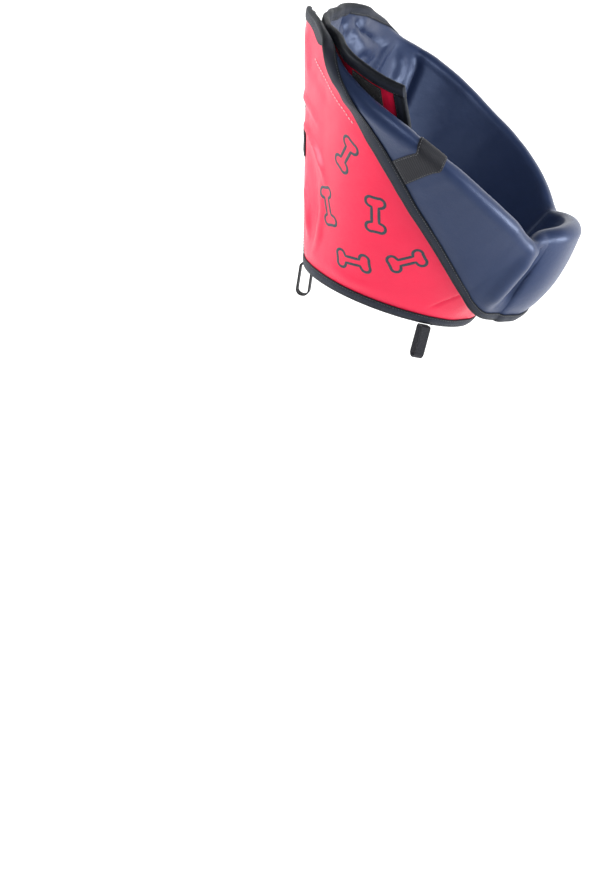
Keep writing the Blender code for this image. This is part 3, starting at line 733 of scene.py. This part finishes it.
def tape_sections(places, outward, waver_seed):
    """Sections of tape. places(d) gives (around, up) at a distance d from the edge."""
    legs = []
    for distance in LEG_STEPS:
        around, up = places(distance)
        legs.append((cloth(around, up), directions(cloth, around, up)[0], distance))
    edge, edge_normal = legs[-1][:2]
    run = np.concatenate([[0.0], np.cumsum(np.linalg.norm(np.diff(edge, axis=0), axis=-1))])
    waver = TAPE_WAVER * field(run / WAVER_PITCH, run * 0.0, waver_seed)

    def leg(side, height):
        """Points and flat places of one leg, from its far edge to the fold."""
        path, reel = [], []
        for point, normal, distance in legs:
            plump = TAPE_PLUMP * math.sin(math.pi * distance / TAPE_LEG) * (height > GAP)
            path.append(point + normal * (above(side, height + plump) + waver)[:, None])
            reel.append((side * (distance + TAPE_BEND), min(distance, TAPE_LEG - distance)))
        return path, reel

    sections, weave = [], []
    for height, past, order in ((GAP + TAPE_WALL, TAPE_SLACK + TAPE_WALL, 1), (GAP, TAPE_SLACK, -1)):
        path, reel = leg(1, height)
        for bend in BEND_STEPS:
            over = (1 + math.cos(bend)) / 2
            offset = above(1, height) * over + above(-1, height) * (1 - over)
            path.append(edge + edge_normal * offset + outward * (past * math.sin(bend)))
            reel.append((TAPE_BEND * math.cos(bend), 0.0))
        under, under_reel = leg(-1, height)
        sections += (path + under[::-1])[::order]
        weave += (reel + under_reel[::-1])[::order]
    rings = np.stack(sections, axis=1)
    cross = np.broadcast_to(np.array(weave)[None, :, :], rings.shape[:2] + (2,))
    length = np.broadcast_to(run[:, None, None], rings.shape[:2] + (1,))
    return rings, np.concatenate([length, cross], axis=-1)


def closed_end(ring, away, past):
    """Sections that close a tape past the panel's corner: hollow, then filled, then thinner."""
    half = len(ring) // 2
    outer = ring[:half]
    middle = (outer + outer[::-1]) / 2
    core = (middle + (outer - middle) * 0.05)[::-1]
    filled = np.concatenate([outer, core])
    thinner = np.concatenate([middle + (outer - middle) * 0.7, core])
    return [ring + away * GAP, filled + away * (GAP + 0.0001), filled + away * past * 0.75,
            thinner + away * past]


def rounded_ends(rings, weave, across, past):
    """Closes a tape over the panel's corners with a few sections past each end."""
    start = closed_end(rings[0], -across[0], past)[::-1]
    stop = closed_end(rings[-1], across[-1], past)
    rings = np.concatenate([start, rings, stop])
    return rings, np.concatenate([weave[:1]] * 4 + [weave] + [weave[-1:]] * 4)


WIDE_SHARE, WIDE_SPREAD = 0.95, 8.0    # extra width of a leg, and degrees that it spreads over


def edge_tape_piece(name, edge_up, seed, count, wide_at=None):
    """Tape along the hem or the rim. Round wide_at it is folded wider, to ease a bend."""
    along = np.linspace(0.0, 1.0, count)
    inward = 1.0 if edge_up == 0.0 else -1.0

    def places(distance):
        up = np.full(count, edge_up + inward * distance)
        if wide_at is not None:
            around = OVER_END + along * (under_end(up) - OVER_END)
            up = up + inward * distance * WIDE_SHARE * np.exp(-((around - wide_at) / WIDE_SPREAD) ** 2)
        return OVER_END + along * (under_end(up) - OVER_END), up

    rise, side = directions(cloth, *places(0.0))[1:]
    rings, weave = tape_sections(places, rise * -inward, seed)
    rings, weave = rounded_ends(rings, weave, side, TAPE_SLACK + TAPE_WALL)
    return tube(name, rings, weave, edge_tape)


def end_tape_piece(name, anchor, beyond, seed):
    """Tape along one end of the panel, between the tapes of the hem and the rim."""
    up = np.linspace(TAPE_LEG + GAP, DEPTH - TAPE_LEG - GAP, 110)

    def places(distance):
        return around_at(anchor, distance, up), up

    side = directions(cloth, *places(0.0))[2]
    rings, weave = tape_sections(places, side * beyond, seed)
    return tube(name, rings, weave, edge_tape)


rim_tape = edge_tape_piece("rim_tape", DEPTH, 11, 520, wide_at=-143.0)
neck_tape = edge_tape_piece("neck_tape", 0.0, 12, 340)
over_end_tape = end_tape_piece("over_end_tape", "over end", -1.0, 13)
under_end_tape = end_tape_piece("under_end_tape", "under end", 1.0, 14)
print("tape faces:", sum(len(t.data.polygons) for t in (rim_tape, neck_tape, over_end_tape, under_end_tape)))

# %% [markdown]
# Strips, band and tab
#
# The closure is hook tape inside the upper end, loop tape on the outside of the
# lower end, and a spare row of loop tape for a slimmer neck. A plain woven band
# crosses the cuff, and a short tab of webbing helps the fingers find the end. All
# are thin flat tapes with a rounded edge, laid on the cloth by the same rule.


# %% Flat sewn tapes
def edge_spacing(length, pitch):
    """Places across a tape, with extra ones close to its edges so that they can be rounded."""
    inner = np.linspace(0.0009, length - 0.0009, max(3, int(length / pitch)))
    return np.concatenate([[0.0, 0.0003], inner, [length - 0.0003, length]])


def on_strip(node_name, inset, up, height):
    """A point at a height above the cloth on a strip, without the padding's swell."""
    anchor, side = STRIPS[node_name][0], STRIPS[node_name][-1]
    around = around_at(anchor, inset, up)
    offset = above(side, GAP + np.asarray(height))
    return cloth(around, up) + directions(cloth, around, up)[0] * offset[..., None]


def sewn_tape(name, node_name, thickness, material, bulge=0.0):
    low, high, start, stop = STRIPS[node_name][1:5]
    inset = (low + edge_spacing(high - low, 0.003))[:, None]
    up = (start + edge_spacing(stop - start, 0.003))[None, :]
    inset, up = np.broadcast_arrays(inset, up)
    border = np.minimum(np.minimum(inset - low, high - inset), np.minimum(up - start, stop - up))
    top = thickness * (0.35 + 0.65 * np.sqrt(np.clip(border / 0.0009, 0, 1)))
    top = top + bulge * ease(border / 0.006)
    weave = np.stack([up, inset, border], axis=-1)
    return wall(name, on_strip(node_name, inset, up, top), on_strip(node_name, inset, up, 0.0),
                weave, material)


# Thickness of the woven ground under the hooks and the pile
HOOK_BASE, PILE_BASE, SPARE_BASE = STRIP_WALL * 0.5, STRIP_WALL * 0.6, STRIP_WALL * 0.8
hook_tape = sewn_tape("hook_tape", "hook_strip", HOOK_BASE, pile_ground)
pile_tape = sewn_tape("loop_pile_tape", "pile_strip", PILE_BASE, pile_ground)
spare_pile_tape = sewn_tape("spare_loop_pile_tape", "spare_pile_strip", SPARE_BASE, pile_ground)
cuff_band = sewn_tape("cross_band", "cuff_band", TAPE_WALL, webbing, bulge=0.0003)
pull_tab = sewn_tape("finger_tab", "pull_tab", WEBBING_WALL, webbing, bulge=0.0008)
print("sewn tapes: 5")

# %% [markdown]
# Webbing loops
#
# Three loops of narrow webbing hang under the hem, and the dog's own collar is
# threaded through them so that the cone can't slip off. Each is a flat band bent
# into a slot with a round bottom. A ring of points round the slot and a small
# rounded section at each of them give the band its thickness and soft edges.


# %% Loops under the hem
def hang(around):
    """Top of a loop under the hem's tape, and its directions outward, down and along."""
    place = np.array(around)
    along = unit(hem(place + 0.5) - hem(place - 0.5))
    plumb = 1.0 - (1.0 - BACK_PLUMB) * ease((abs(around) - 60.0) / 60.0)
    down = unit(np.array((0.0, 0.0, -1.0)) * plumb - AXIS * (1.0 - plumb))
    down = unit(down - along * down.dot(along))
    outward = unit(np.cross(along, -down))
    half_turn = float(WEBBING_WIDTH / 2 / reach(place, 0.0))
    places = [around - half_turn, around, around + half_turn]
    places += [p - 360.0 for p in places if p - 360.0 > OVER_END - 2 * half_turn]
    lowest = 0.0
    for place_round in places:
        edge = standing(np.array(place_round), 0.0)
        rise = unit(standing(np.array(place_round), TAPE_LEG) - edge)
        normal = directions(standing, np.array(place_round), 0.0, 1.0, 0.002)[0]
        for side in (1, -1):
            corner = edge - hem(place) - rise * (TAPE_SLACK + TAPE_WALL)
            corner = corner + normal * above(side, GAP + TAPE_WALL)
            lowest = max(lowest, float(corner.dot(down)))
    return hem(place) + down * (lowest + GAP), outward, down, along


def slot_path(half, top, bottom, top_corner, bottom_corner, steps):
    """Rounded slot as (outward, down) points and the directions that leave it."""
    points, ways = [], []
    for out, drop, corner, start in ((1, top, top_corner, -90.0), (1, bottom, bottom_corner, 0.0),
                                     (-1, bottom, bottom_corner, 90.0), (-1, top, top_corner, 180.0)):
        centre = (out * (half - corner), drop + corner if drop == top else drop - corner)
        for k in range(steps + 1):
            angle = math.radians(start + 90.0 * k / steps)
            points.append((centre[0] + corner * math.cos(angle), centre[1] + corner * math.sin(angle)))
            ways.append((math.cos(angle), math.sin(angle)))
    return np.array(points), np.array(ways)


def webbing_loop(name, around):
    origin, outward, down, along = hang(around)
    half = LOOP_GAP / 2 + WEBBING_WALL / 2
    path, ways = slot_path(half, WEBBING_WALL / 2, LOOP_DROP - WEBBING_WALL / 2, 0.0022, half * 0.92, 8)
    steps = np.linalg.norm(np.diff(np.concatenate([path, path[:1]]), axis=0), axis=1)
    run = np.concatenate([[0.0], np.cumsum(steps)])[:-1]
    round_edge = 0.00045
    thick, wide = WEBBING_WALL / 2, WEBBING_WIDTH / 2
    section = []
    for side, edge in ((1, 1), (1, -1), (-1, -1), (-1, 1)):
        pair = [(side * thick, edge * (wide - round_edge)), (side * (thick - round_edge), edge * wide)]
        section += pair if side * edge < 0 else pair[::-1]
    section = np.array(section)
    bow = 0.0006 * np.sin(math.pi * np.clip(path[:, 1] / LOOP_DROP, 0, 1)) * np.sign(path[:, 0])
    centre = origin + (path[:, :1] + bow[:, None]) * outward + path[:, 1:] * down
    leave = ways[:, :1] * outward + ways[:, 1:] * down
    rings = (centre[:, None, :] + leave[:, None, :] * section[None, :, :1]
             + along[None, None, :] * section[None, :, 1:])
    weave = np.stack(np.broadcast_arrays(run[:, None], section[None, :, 1], 0.0), axis=-1)
    return tube(name, rings, weave, webbing, closed=True)


loops = {key: webbing_loop("webbing_loop_" + key, angle) for key, angle in LOOP_AROUND.items()}
print("loops:", list(loops))

# %% [markdown]
# Stitches
#
# Lock stitches run along every tape. One small Geometry Nodes tree makes them
# all: it takes a line on the cloth, sets points along it at the stitch pitch, and
# puts a short rounded stitch on each point, turned along the line. Modelling two
# thousand stitches by hand is out of the question, and a bump in the material
# would vanish at the silhouette.


# %% A node tree that sews along a line
def new_tree(name, **numbers):
    """A tree that takes a mesh, some numbers with these defaults, a seed and a material."""
    tree = bpy.data.node_groups.new(name, "GeometryNodeTree")
    tree.interface.new_socket("Geometry", in_out="INPUT", socket_type="NodeSocketGeometry")
    for label, value in numbers.items():
        tree.interface.new_socket(label, in_out="INPUT", socket_type="NodeSocketFloat").default_value = value
    tree.interface.new_socket("Seed", in_out="INPUT", socket_type="NodeSocketInt")
    tree.interface.new_socket("Material", in_out="INPUT", socket_type="NodeSocketMaterial")
    tree.interface.new_socket("Geometry", in_out="OUTPUT", socket_type="NodeSocketGeometry")
    return tree, node(tree, "NodeGroupInput").outputs


def finish_tree(tree, given, placed, smooth):
    """Makes the placed copies real, gives them their material and ends the tree."""
    made = node(tree, "GeometryNodeRealizeInstances", Geometry=placed.outputs[0])
    if smooth:
        made = node(tree, "GeometryNodeSetShadeSmooth", Geometry=made.outputs[0])
    made = node(tree, "GeometryNodeSetMaterial", Geometry=made.outputs[0], Material=given["Material"])
    node(tree, "NodeGroupOutput", _0=made.outputs[0])
    return tree


def stitch_tree():
    tree, given = new_tree("Stitches along a line", Pitch=0.0032, Length=0.0024, Radius=0.0003)
    line = node(tree, "GeometryNodeMeshToCurve", Mesh=given["Geometry"])
    even = node(tree, "GeometryNodeResampleCurve", {"mode": "LENGTH"}, Curve=line.outputs[0],
                Length=given["Pitch"])
    bead = node(tree, "GeometryNodeMeshUVSphere", Segments=6, Rings=4, Radius=1.0)
    size = node(tree, "ShaderNodeCombineXYZ", X=given["Radius"], Y=given["Radius"],
                Z=product(tree, given["Length"], 0.5))
    stitch = node(tree, "GeometryNodeTransform", Geometry=bead.outputs["Mesh"], Scale=size.outputs[0])
    way = node(tree, "GeometryNodeInputTangent")
    turn = node(tree, "FunctionNodeAlignRotationToVector", {"axis": "Z"}, Vector=way.outputs[0])
    placed = node(tree, "GeometryNodeInstanceOnPoints", Points=even.outputs[0],
                  Instance=stitch.outputs[0], Rotation=turn.outputs[0])
    return finish_tree(tree, given, placed, smooth=True)


def grown(name, base, tree, **values):
    """Runs a node tree on a mesh and keeps the result as a plain mesh."""
    carrier = bpy.data.objects.new(name + "_carrier", base)
    bpy.context.scene.collection.objects.link(carrier)
    run = carrier.modifiers.new("grow", "NODES")
    run.node_group = tree
    for item in tree.interface.items_tree:
        if item.item_type == "SOCKET" and item.in_out == "INPUT" and item.name in values:
            run[item.identifier] = values[item.name]
    bpy.context.view_layer.update()
    graph = bpy.context.evaluated_depsgraph_get()
    mesh = bpy.data.meshes.new_from_object(carrier.evaluated_get(graph), depsgraph=graph)
    bpy.data.objects.remove(carrier)
    piece = bpy.data.objects.new(name, mesh)
    bpy.context.scene.collection.objects.link(piece)
    return piece


def line_mesh(name, lines):
    """Loose edges through several lines of points."""
    points = np.concatenate(lines)
    edges, first = [], 0
    for line in lines:
        edges += [(first + k, first + k + 1) for k in range(len(line) - 1)]
        first += len(line)
    mesh = bpy.data.meshes.new(name)
    mesh.from_pydata(points.tolist(), edges, [])
    return mesh


sewing = stitch_tree()
print("sewing tree with", len(sewing.nodes), "nodes")

# %% Lines of stitching on the tapes and strips
STITCH_SINK = 0.00005


def edge_line(edge_up, inset, side, height, count=900):
    up = np.full(count, edge_up + (inset if edge_up == 0.0 else -inset))
    around = OVER_END + np.linspace(0.004, 0.996, count) * (under_end(up) - OVER_END)
    return on_face(around, up, side, height)


def end_line(anchor, inset, side, height):
    up = np.linspace(TAPE_LEG * 0.5, DEPTH - TAPE_LEG * 0.5, 260)
    return on_face(around_at(anchor, inset, up), up, side, height)


def border_lines(node_name, margin, height):
    """Stitching round a sewn tape, a little inside its edge."""
    low, high, start, stop = STRIPS[node_name][1:5]
    low, high, start, stop = low + margin, high - margin, start + margin, stop - margin
    corners = [(low, start), (high, start), (high, stop), (low, stop), (low, start)]
    inset, up = [], []
    for a, b in zip(corners, corners[1:]):
        inset.append(np.linspace(a[0], b[0], 60))
        up.append(np.linspace(a[1], b[1], 60))
    return on_strip(node_name, np.concatenate(inset), np.concatenate(up), height)


tape_top = GAP + TAPE_WALL + 0.00030 - STITCH_SINK
seam_inset = TAPE_LEG - 0.0016
dark_lines = [edge_line(edge, seam_inset, side, tape_top) for edge in (0.0, DEPTH) for side in (1, -1)]
dark_lines += [end_line(anchor, seam_inset, side, tape_top)
               for anchor in ("over end", "under end") for side in (1, -1)]
dark_lines += [border_lines("hook_strip", 0.0014, HOOK_BASE),
               border_lines("pile_strip", 0.0014, PILE_BASE),
               border_lines("spare_pile_strip", 0.0014, SPARE_BASE),
               border_lines("cuff_band", 0.0018, TAPE_WALL + 0.0001),
               border_lines("pull_tab", 0.0018, WEBBING_WALL + 0.0002)]
tape_stitches = grown("tape_stitches", line_mesh("tape_lines", dark_lines), sewing,
                      Pitch=0.0034, Length=0.0026, Radius=0.00032, Material=dark_thread)

# The pale seam on the red: (around, up) points
PALE_SEAM = [(-146.4, 0.2483), (-138.1, 0.2415), (-128.9, 0.2347), (-122.9, 0.2299),
             (-118.0, 0.2250), (-113.7, 0.2192)]
seam_around = np.linspace(PALE_SEAM[0][0], PALE_SEAM[-1][0], 300)
seam_up = np.interp(seam_around, *zip(*PALE_SEAM))
pale_line = on_face(seam_around, seam_up, 1, 0.00025)
cover_stitches = grown("cover_stitches", line_mesh("cover_line", [pale_line]), sewing,
                       Pitch=0.0052, Length=0.0040, Radius=0.00072, Material=pale_thread)
print("stitch faces:", len(tape_stitches.data.polygons), len(cover_stitches.data.polygons))

# %% [markdown]
# Hooks and pile
#
# Hook and loop tape grips because one face has stiff hooks in rows and the other
# a soft tangle of loops. Each is one bent fibre repeated over the tape. A second
# node tree scatters them: it takes the tape's face, drops points on it, bends a
# short arc into a fibre and stands one on each point, turned and sized at random
# from a fixed seed.


# %% A node tree that grows fibres on a face
def fibre_tree():
    tree, given = new_tree("Fibres on a face", Density=300000.0, Bend=0.0007, Sweep=4.0,
                           Thickness=0.0001, Spin=6.28, Uneven=0.4)
    drops = node(tree, "GeometryNodeDistributePointsOnFaces", Mesh=given["Geometry"],
                 Density=given["Density"], Seed=given["Seed"])
    arc = node(tree, "GeometryNodeCurveArc", Resolution=5, Radius=given["Bend"], Sweep_Angle=given["Sweep"])
    ring = node(tree, "GeometryNodeCurvePrimitiveCircle", Resolution=3, Radius=given["Thickness"])
    bent = node(tree, "GeometryNodeCurveToMesh", Curve=arc.outputs[0], Profile_Curve=ring.outputs[0],
                Fill_Caps=True)
    stood = node(tree, "GeometryNodeTransform", Geometry=bent.outputs[0],
                 Rotation=(math.radians(90.0), 0.0, 0.0))
    spin = node(tree, "FunctionNodeRandomValue", {"data_type": "FLOAT"}, _3=given["Spin"],
                Seed=given["Seed"])
    turn = node(tree, "ShaderNodeCombineXYZ", Z=spin.outputs[1])
    turned = node(tree, "FunctionNodeRotateRotation", {"rotation_space": "LOCAL"},
                  Rotation=drops.outputs["Rotation"], Rotate_By=turn.outputs[0])
    smallest = node(tree, "ShaderNodeMath", {"operation": "SUBTRACT"}, _0=1.0, _1=given["Uneven"])
    size = node(tree, "FunctionNodeRandomValue", {"data_type": "FLOAT"}, _2=smallest.outputs[0],
                Seed=given["Seed"])
    placed = node(tree, "GeometryNodeInstanceOnPoints", Points=drops.outputs["Points"],
                  Instance=stood.outputs[0], Rotation=turned.outputs[0], Scale=size.outputs[1])
    return finish_tree(tree, given, placed, smooth=False)


def strip_face(node_name, height, margin=0.002):
    """The open face of a strip as a plain grid, for fibres to stand on."""
    anchor, low, high, start, stop, side = STRIPS[node_name]
    inset = np.linspace(low + margin, high - margin, 9)[:, None]
    up = np.linspace(start + margin, stop - margin, 70)[None, :]
    inset, up = np.broadcast_arrays(inset, up)
    face = on_strip(node_name, inset, up, height)
    cell = np.arange(face.shape[0] * face.shape[1]).reshape(face.shape[:2])
    flip = side * (-1 if anchor == "under end" else 1)
    mesh = bpy.data.meshes.new(node_name + "_face")
    mesh.from_pydata(face.reshape(-1, 3).tolist(), [], quads(cell)[:, ::flip].tolist())
    return mesh


growing = fibre_tree()
spare_pile = grown("spare_loop_pile", strip_face("spare_pile_strip", SPARE_BASE), growing,
                   Density=650000.0, Bend=0.00075, Sweep=4.2, Thickness=0.00011, Seed=3, Material=fibre)
lap_pile = grown("loop_pile", strip_face("pile_strip", PILE_BASE), growing,
                 Density=350000.0, Bend=0.00045, Sweep=4.2, Thickness=0.00010, Seed=4, Material=fibre)
hooks = grown("hooks", strip_face("hook_strip", HOOK_BASE), growing,
              Density=350000.0, Bend=0.00045, Sweep=4.6, Thickness=0.00011, Spin=0.5, Seed=5, Material=fibre)
print("fibre faces:", [len(o.data.polygons) for o in (spare_pile, lap_pile, hooks)])

# %% [markdown]
# The print
#
# The red cloth carries a few outlined figures in dark ink. Here they are plain
# dog bones. A bone is a rule: two straight sides and two round knobs at each end.
# Its outline is drawn on the flat cloth and laid on the cover as a film of ink
# with a real thickness, so it follows the swell of the padding.

# %% Bones in dark ink
# Each bone: around, height above the hem, length in metres, turn in degrees
BONES = [(-116.0, 0.176, 0.044, 66.0), (-127.0, 0.098, 0.042, 112.0), (-99.0, 0.122, 0.044, 100.0),
         (-107.0, 0.050, 0.042, 14.0), (-80.0, 0.078, 0.042, 40.0)]
INK_WIDTH = 0.0035
INK_FILM = 0.00012


def bone_outline(length):
    """Closed outline of a bone as (x, y) metres, anticlockwise."""
    knob = length * 0.135
    reach_x, reach_y = length / 2 - knob, knob * 0.92
    waist = knob * 0.72
    arcs = []
    for sx, sy, start, stop in ((1, -1, -152, 20), (1, 1, -20, 152), (-1, 1, 28, 200), (-1, -1, 160, 332)):
        for angle in np.radians(np.linspace(start, stop, 15)):
            arcs.append((sx * reach_x + knob * math.cos(angle), sy * reach_y + knob * math.sin(angle)))
        if (sx, sy) in ((1, 1), (-1, -1)):
            x = np.linspace(sx * (reach_x - knob * 1.15), -sx * (reach_x - knob * 1.15), 9)
            arcs += [(v, sy * waist) for v in x]
    return np.array(arcs)


def ink_line(name, around, up, length, turn):
    outline = bone_outline(length)
    onward = unit(np.roll(outline, -1, axis=0) - np.roll(outline, 1, axis=0))
    sideways = np.stack([onward[:, 1], -onward[:, 0]], axis=1)
    angle = math.radians(turn)
    spin = np.array([[math.cos(angle), math.sin(angle)], [-math.sin(angle), math.cos(angle)]])
    rails = []
    for side, height in ((0.5, 0.00002), (0.42, INK_FILM), (-0.42, INK_FILM), (-0.5, 0.00002)):
        rail = (outline + sideways * side * INK_WIDTH) @ spin
        here_up = up + rail[:, 1]
        here_around = around + rail[:, 0] / reach(np.array(around), here_up)
        rails.append(on_face(here_around, here_up, 1, height + 0.00003))
    rings = np.stack(rails, axis=1)
    return tube(name, rings, np.zeros(rings.shape), ink, closed=True)


bones = [ink_line(f"bone_print_{k + 1}", *bone) for k, bone in enumerate(BONES)]
print("bones:", len(bones))

# %% [markdown]
# Joining the frame
#
# The collar has no joint, so every piece rides on the one body, root. Each cloth
# piece stands for the plain solid of the same part, which is hidden. The area that
# the two cloths were cut to, which is part of a ring, is worked out and printed.

# %% Ride and replace
PIECES = [
    (cover, "outer_cover", "cover"), (lining, "lining", "lining"),
    (rim_tape, "rim_binding", "binding"), (neck_tape, "neck_binding", "binding"),
    (over_end_tape, "over_end_binding", "binding"), (under_end_tape, "under_end_binding", "binding"),
    (hook_tape, "hook_strip", "hook_and_loop"), (pile_tape, "pile_strip", "hook_and_loop"),
    (spare_pile_tape, "spare_pile_strip", "hook_and_loop"), (cuff_band, "cuff_band", "webbing"),
    (pull_tab, "pull_tab", "webbing"), (loops["near"], "collar_loop_near", "webbing"),
    (loops["far"], "collar_loop_far", "webbing"), (loops["back"], "collar_loop_back", "webbing"),
    (tape_stitches, None, "binding"), (cover_stitches, None, "cover"),
    (spare_pile, None, "hook_and_loop"), (lap_pile, None, "hook_and_loop"), (hooks, None, "hook_and_loop"),
]
PIECES += [(bone, None, "cover") for bone in bones]
for piece, node_name, slot_name in PIECES:
    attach(piece, "root")
    if node_name:
        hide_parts(node_name)


def cloth_area():
    """Area of the panel's middle, summed over its grid."""
    middle = cloth(*panel_grid())
    a, b = middle[1:, 1:] - middle[:-1, :-1], middle[:-1, 1:] - middle[1:, :-1]
    return float(np.linalg.norm(np.cross(a, b), axis=-1).sum() / 2)


cut_area = round(cloth_area(), 3)
print("cloth cut to", cut_area, "square metres")

# %% [markdown]
# The studio
#
# A round white floor curves up into a wall on every side, so there is no corner
# and no horizon in any view. Its back half glows, as paper does with lamps behind
# it, and its front half stays dim, so that the front of the cloth keeps its shade.
# A large soft light stands high at the right and in front. A second one at the left
# brightens the turned edge of the red, a third one low at the right reaches the
# throat, and a white world fills the shadows.


# %% Backdrop, lights and world
def cove():
    """A round floor that curves up into a wall on every side."""
    floor, reach_out, radius, top = -0.50, 4.6, 1.8, 3.6
    profile = [(reach_out - radius, floor)]
    profile += [(reach_out - radius + radius * math.sin(a), floor + radius - radius * math.cos(a))
                for a in np.linspace(0.1, math.pi / 2, 14)]
    profile.append((reach_out, top))
    steps = 72
    points = [(0.0, 0.0, floor)]
    for r, z in profile:
        turns = np.linspace(0, 2 * math.pi, steps + 1)[:-1]
        points += [(r * math.cos(t), r * math.sin(t), z) for t in turns]
    faces = [(0, 1 + k, 1 + (k + 1) % steps) for k in range(steps)]
    for ring in range(len(profile) - 1):
        low, high = 1 + ring * steps, 1 + (ring + 1) * steps
        faces += [(low + k, high + k, high + (k + 1) % steps, low + (k + 1) % steps) for k in range(steps)]
    mesh = bpy.data.meshes.new("backdrop")
    mesh.from_pydata(points, [], faces)
    mesh.shade_smooth()
    made = bpy.data.objects.new("backdrop", mesh)
    bpy.context.scene.collection.objects.link(made)
    paper, tree, shader = new_material("backdrop_paper", (0.60, 0.60, 0.605), 0.9, 0.0, (1, 1, 1), 0.1)
    shader.inputs["Emission Color"].default_value = (1.0, 1.0, 1.0, 1.0)
    place = node(tree, "ShaderNodeTexCoord").outputs["Object"]
    depth = node(tree, "ShaderNodeSeparateXYZ", Vector=place).outputs["Y"]
    glow = node(tree, "ShaderNodeMapRange", {"interpolation_type": "SMOOTHSTEP"}, Value=depth,
                From_Min=-2.4, From_Max=-0.5, To_Min=0.10, To_Max=0.92)
    tree.links.new(glow.outputs[0], shader.inputs["Emission Strength"])
    mesh.materials.append(paper)


def soft_light(name, place, size, power):
    lamp = bpy.data.lights.new(name, "AREA")
    lamp.shape, lamp.size, lamp.energy = "DISK", size, power
    made = bpy.data.objects.new(name, lamp)
    bpy.context.scene.collection.objects.link(made)
    made.location = place
    made.rotation_euler = (Vector(place) - COLLAR_MIDDLE).to_track_quat("Z", "Y").to_euler()


cove()
COLLAR_MIDDLE = Vector((0.05, 0.0, 0.12))
soft_light("key_light", (1.3, -1.7, 1.9), 0.8, 29.5)
soft_light("edge_light", (-1.90, -0.22, 0.40), 0.6, 29.0)
soft_light("front_light", (2.05, 0.0, -0.05), 0.8, 46.0)
world = bpy.data.worlds.new("studio_white")
bpy.context.scene.world = world
world.use_nodes = True
sky = world.node_tree.nodes["Background"].inputs
sky["Color"].default_value = (1.0, 1.0, 1.0, 1.0)
sky["Strength"].default_value = 0.30
bpy.context.scene.view_settings.view_transform = "Standard"
print("studio ready")
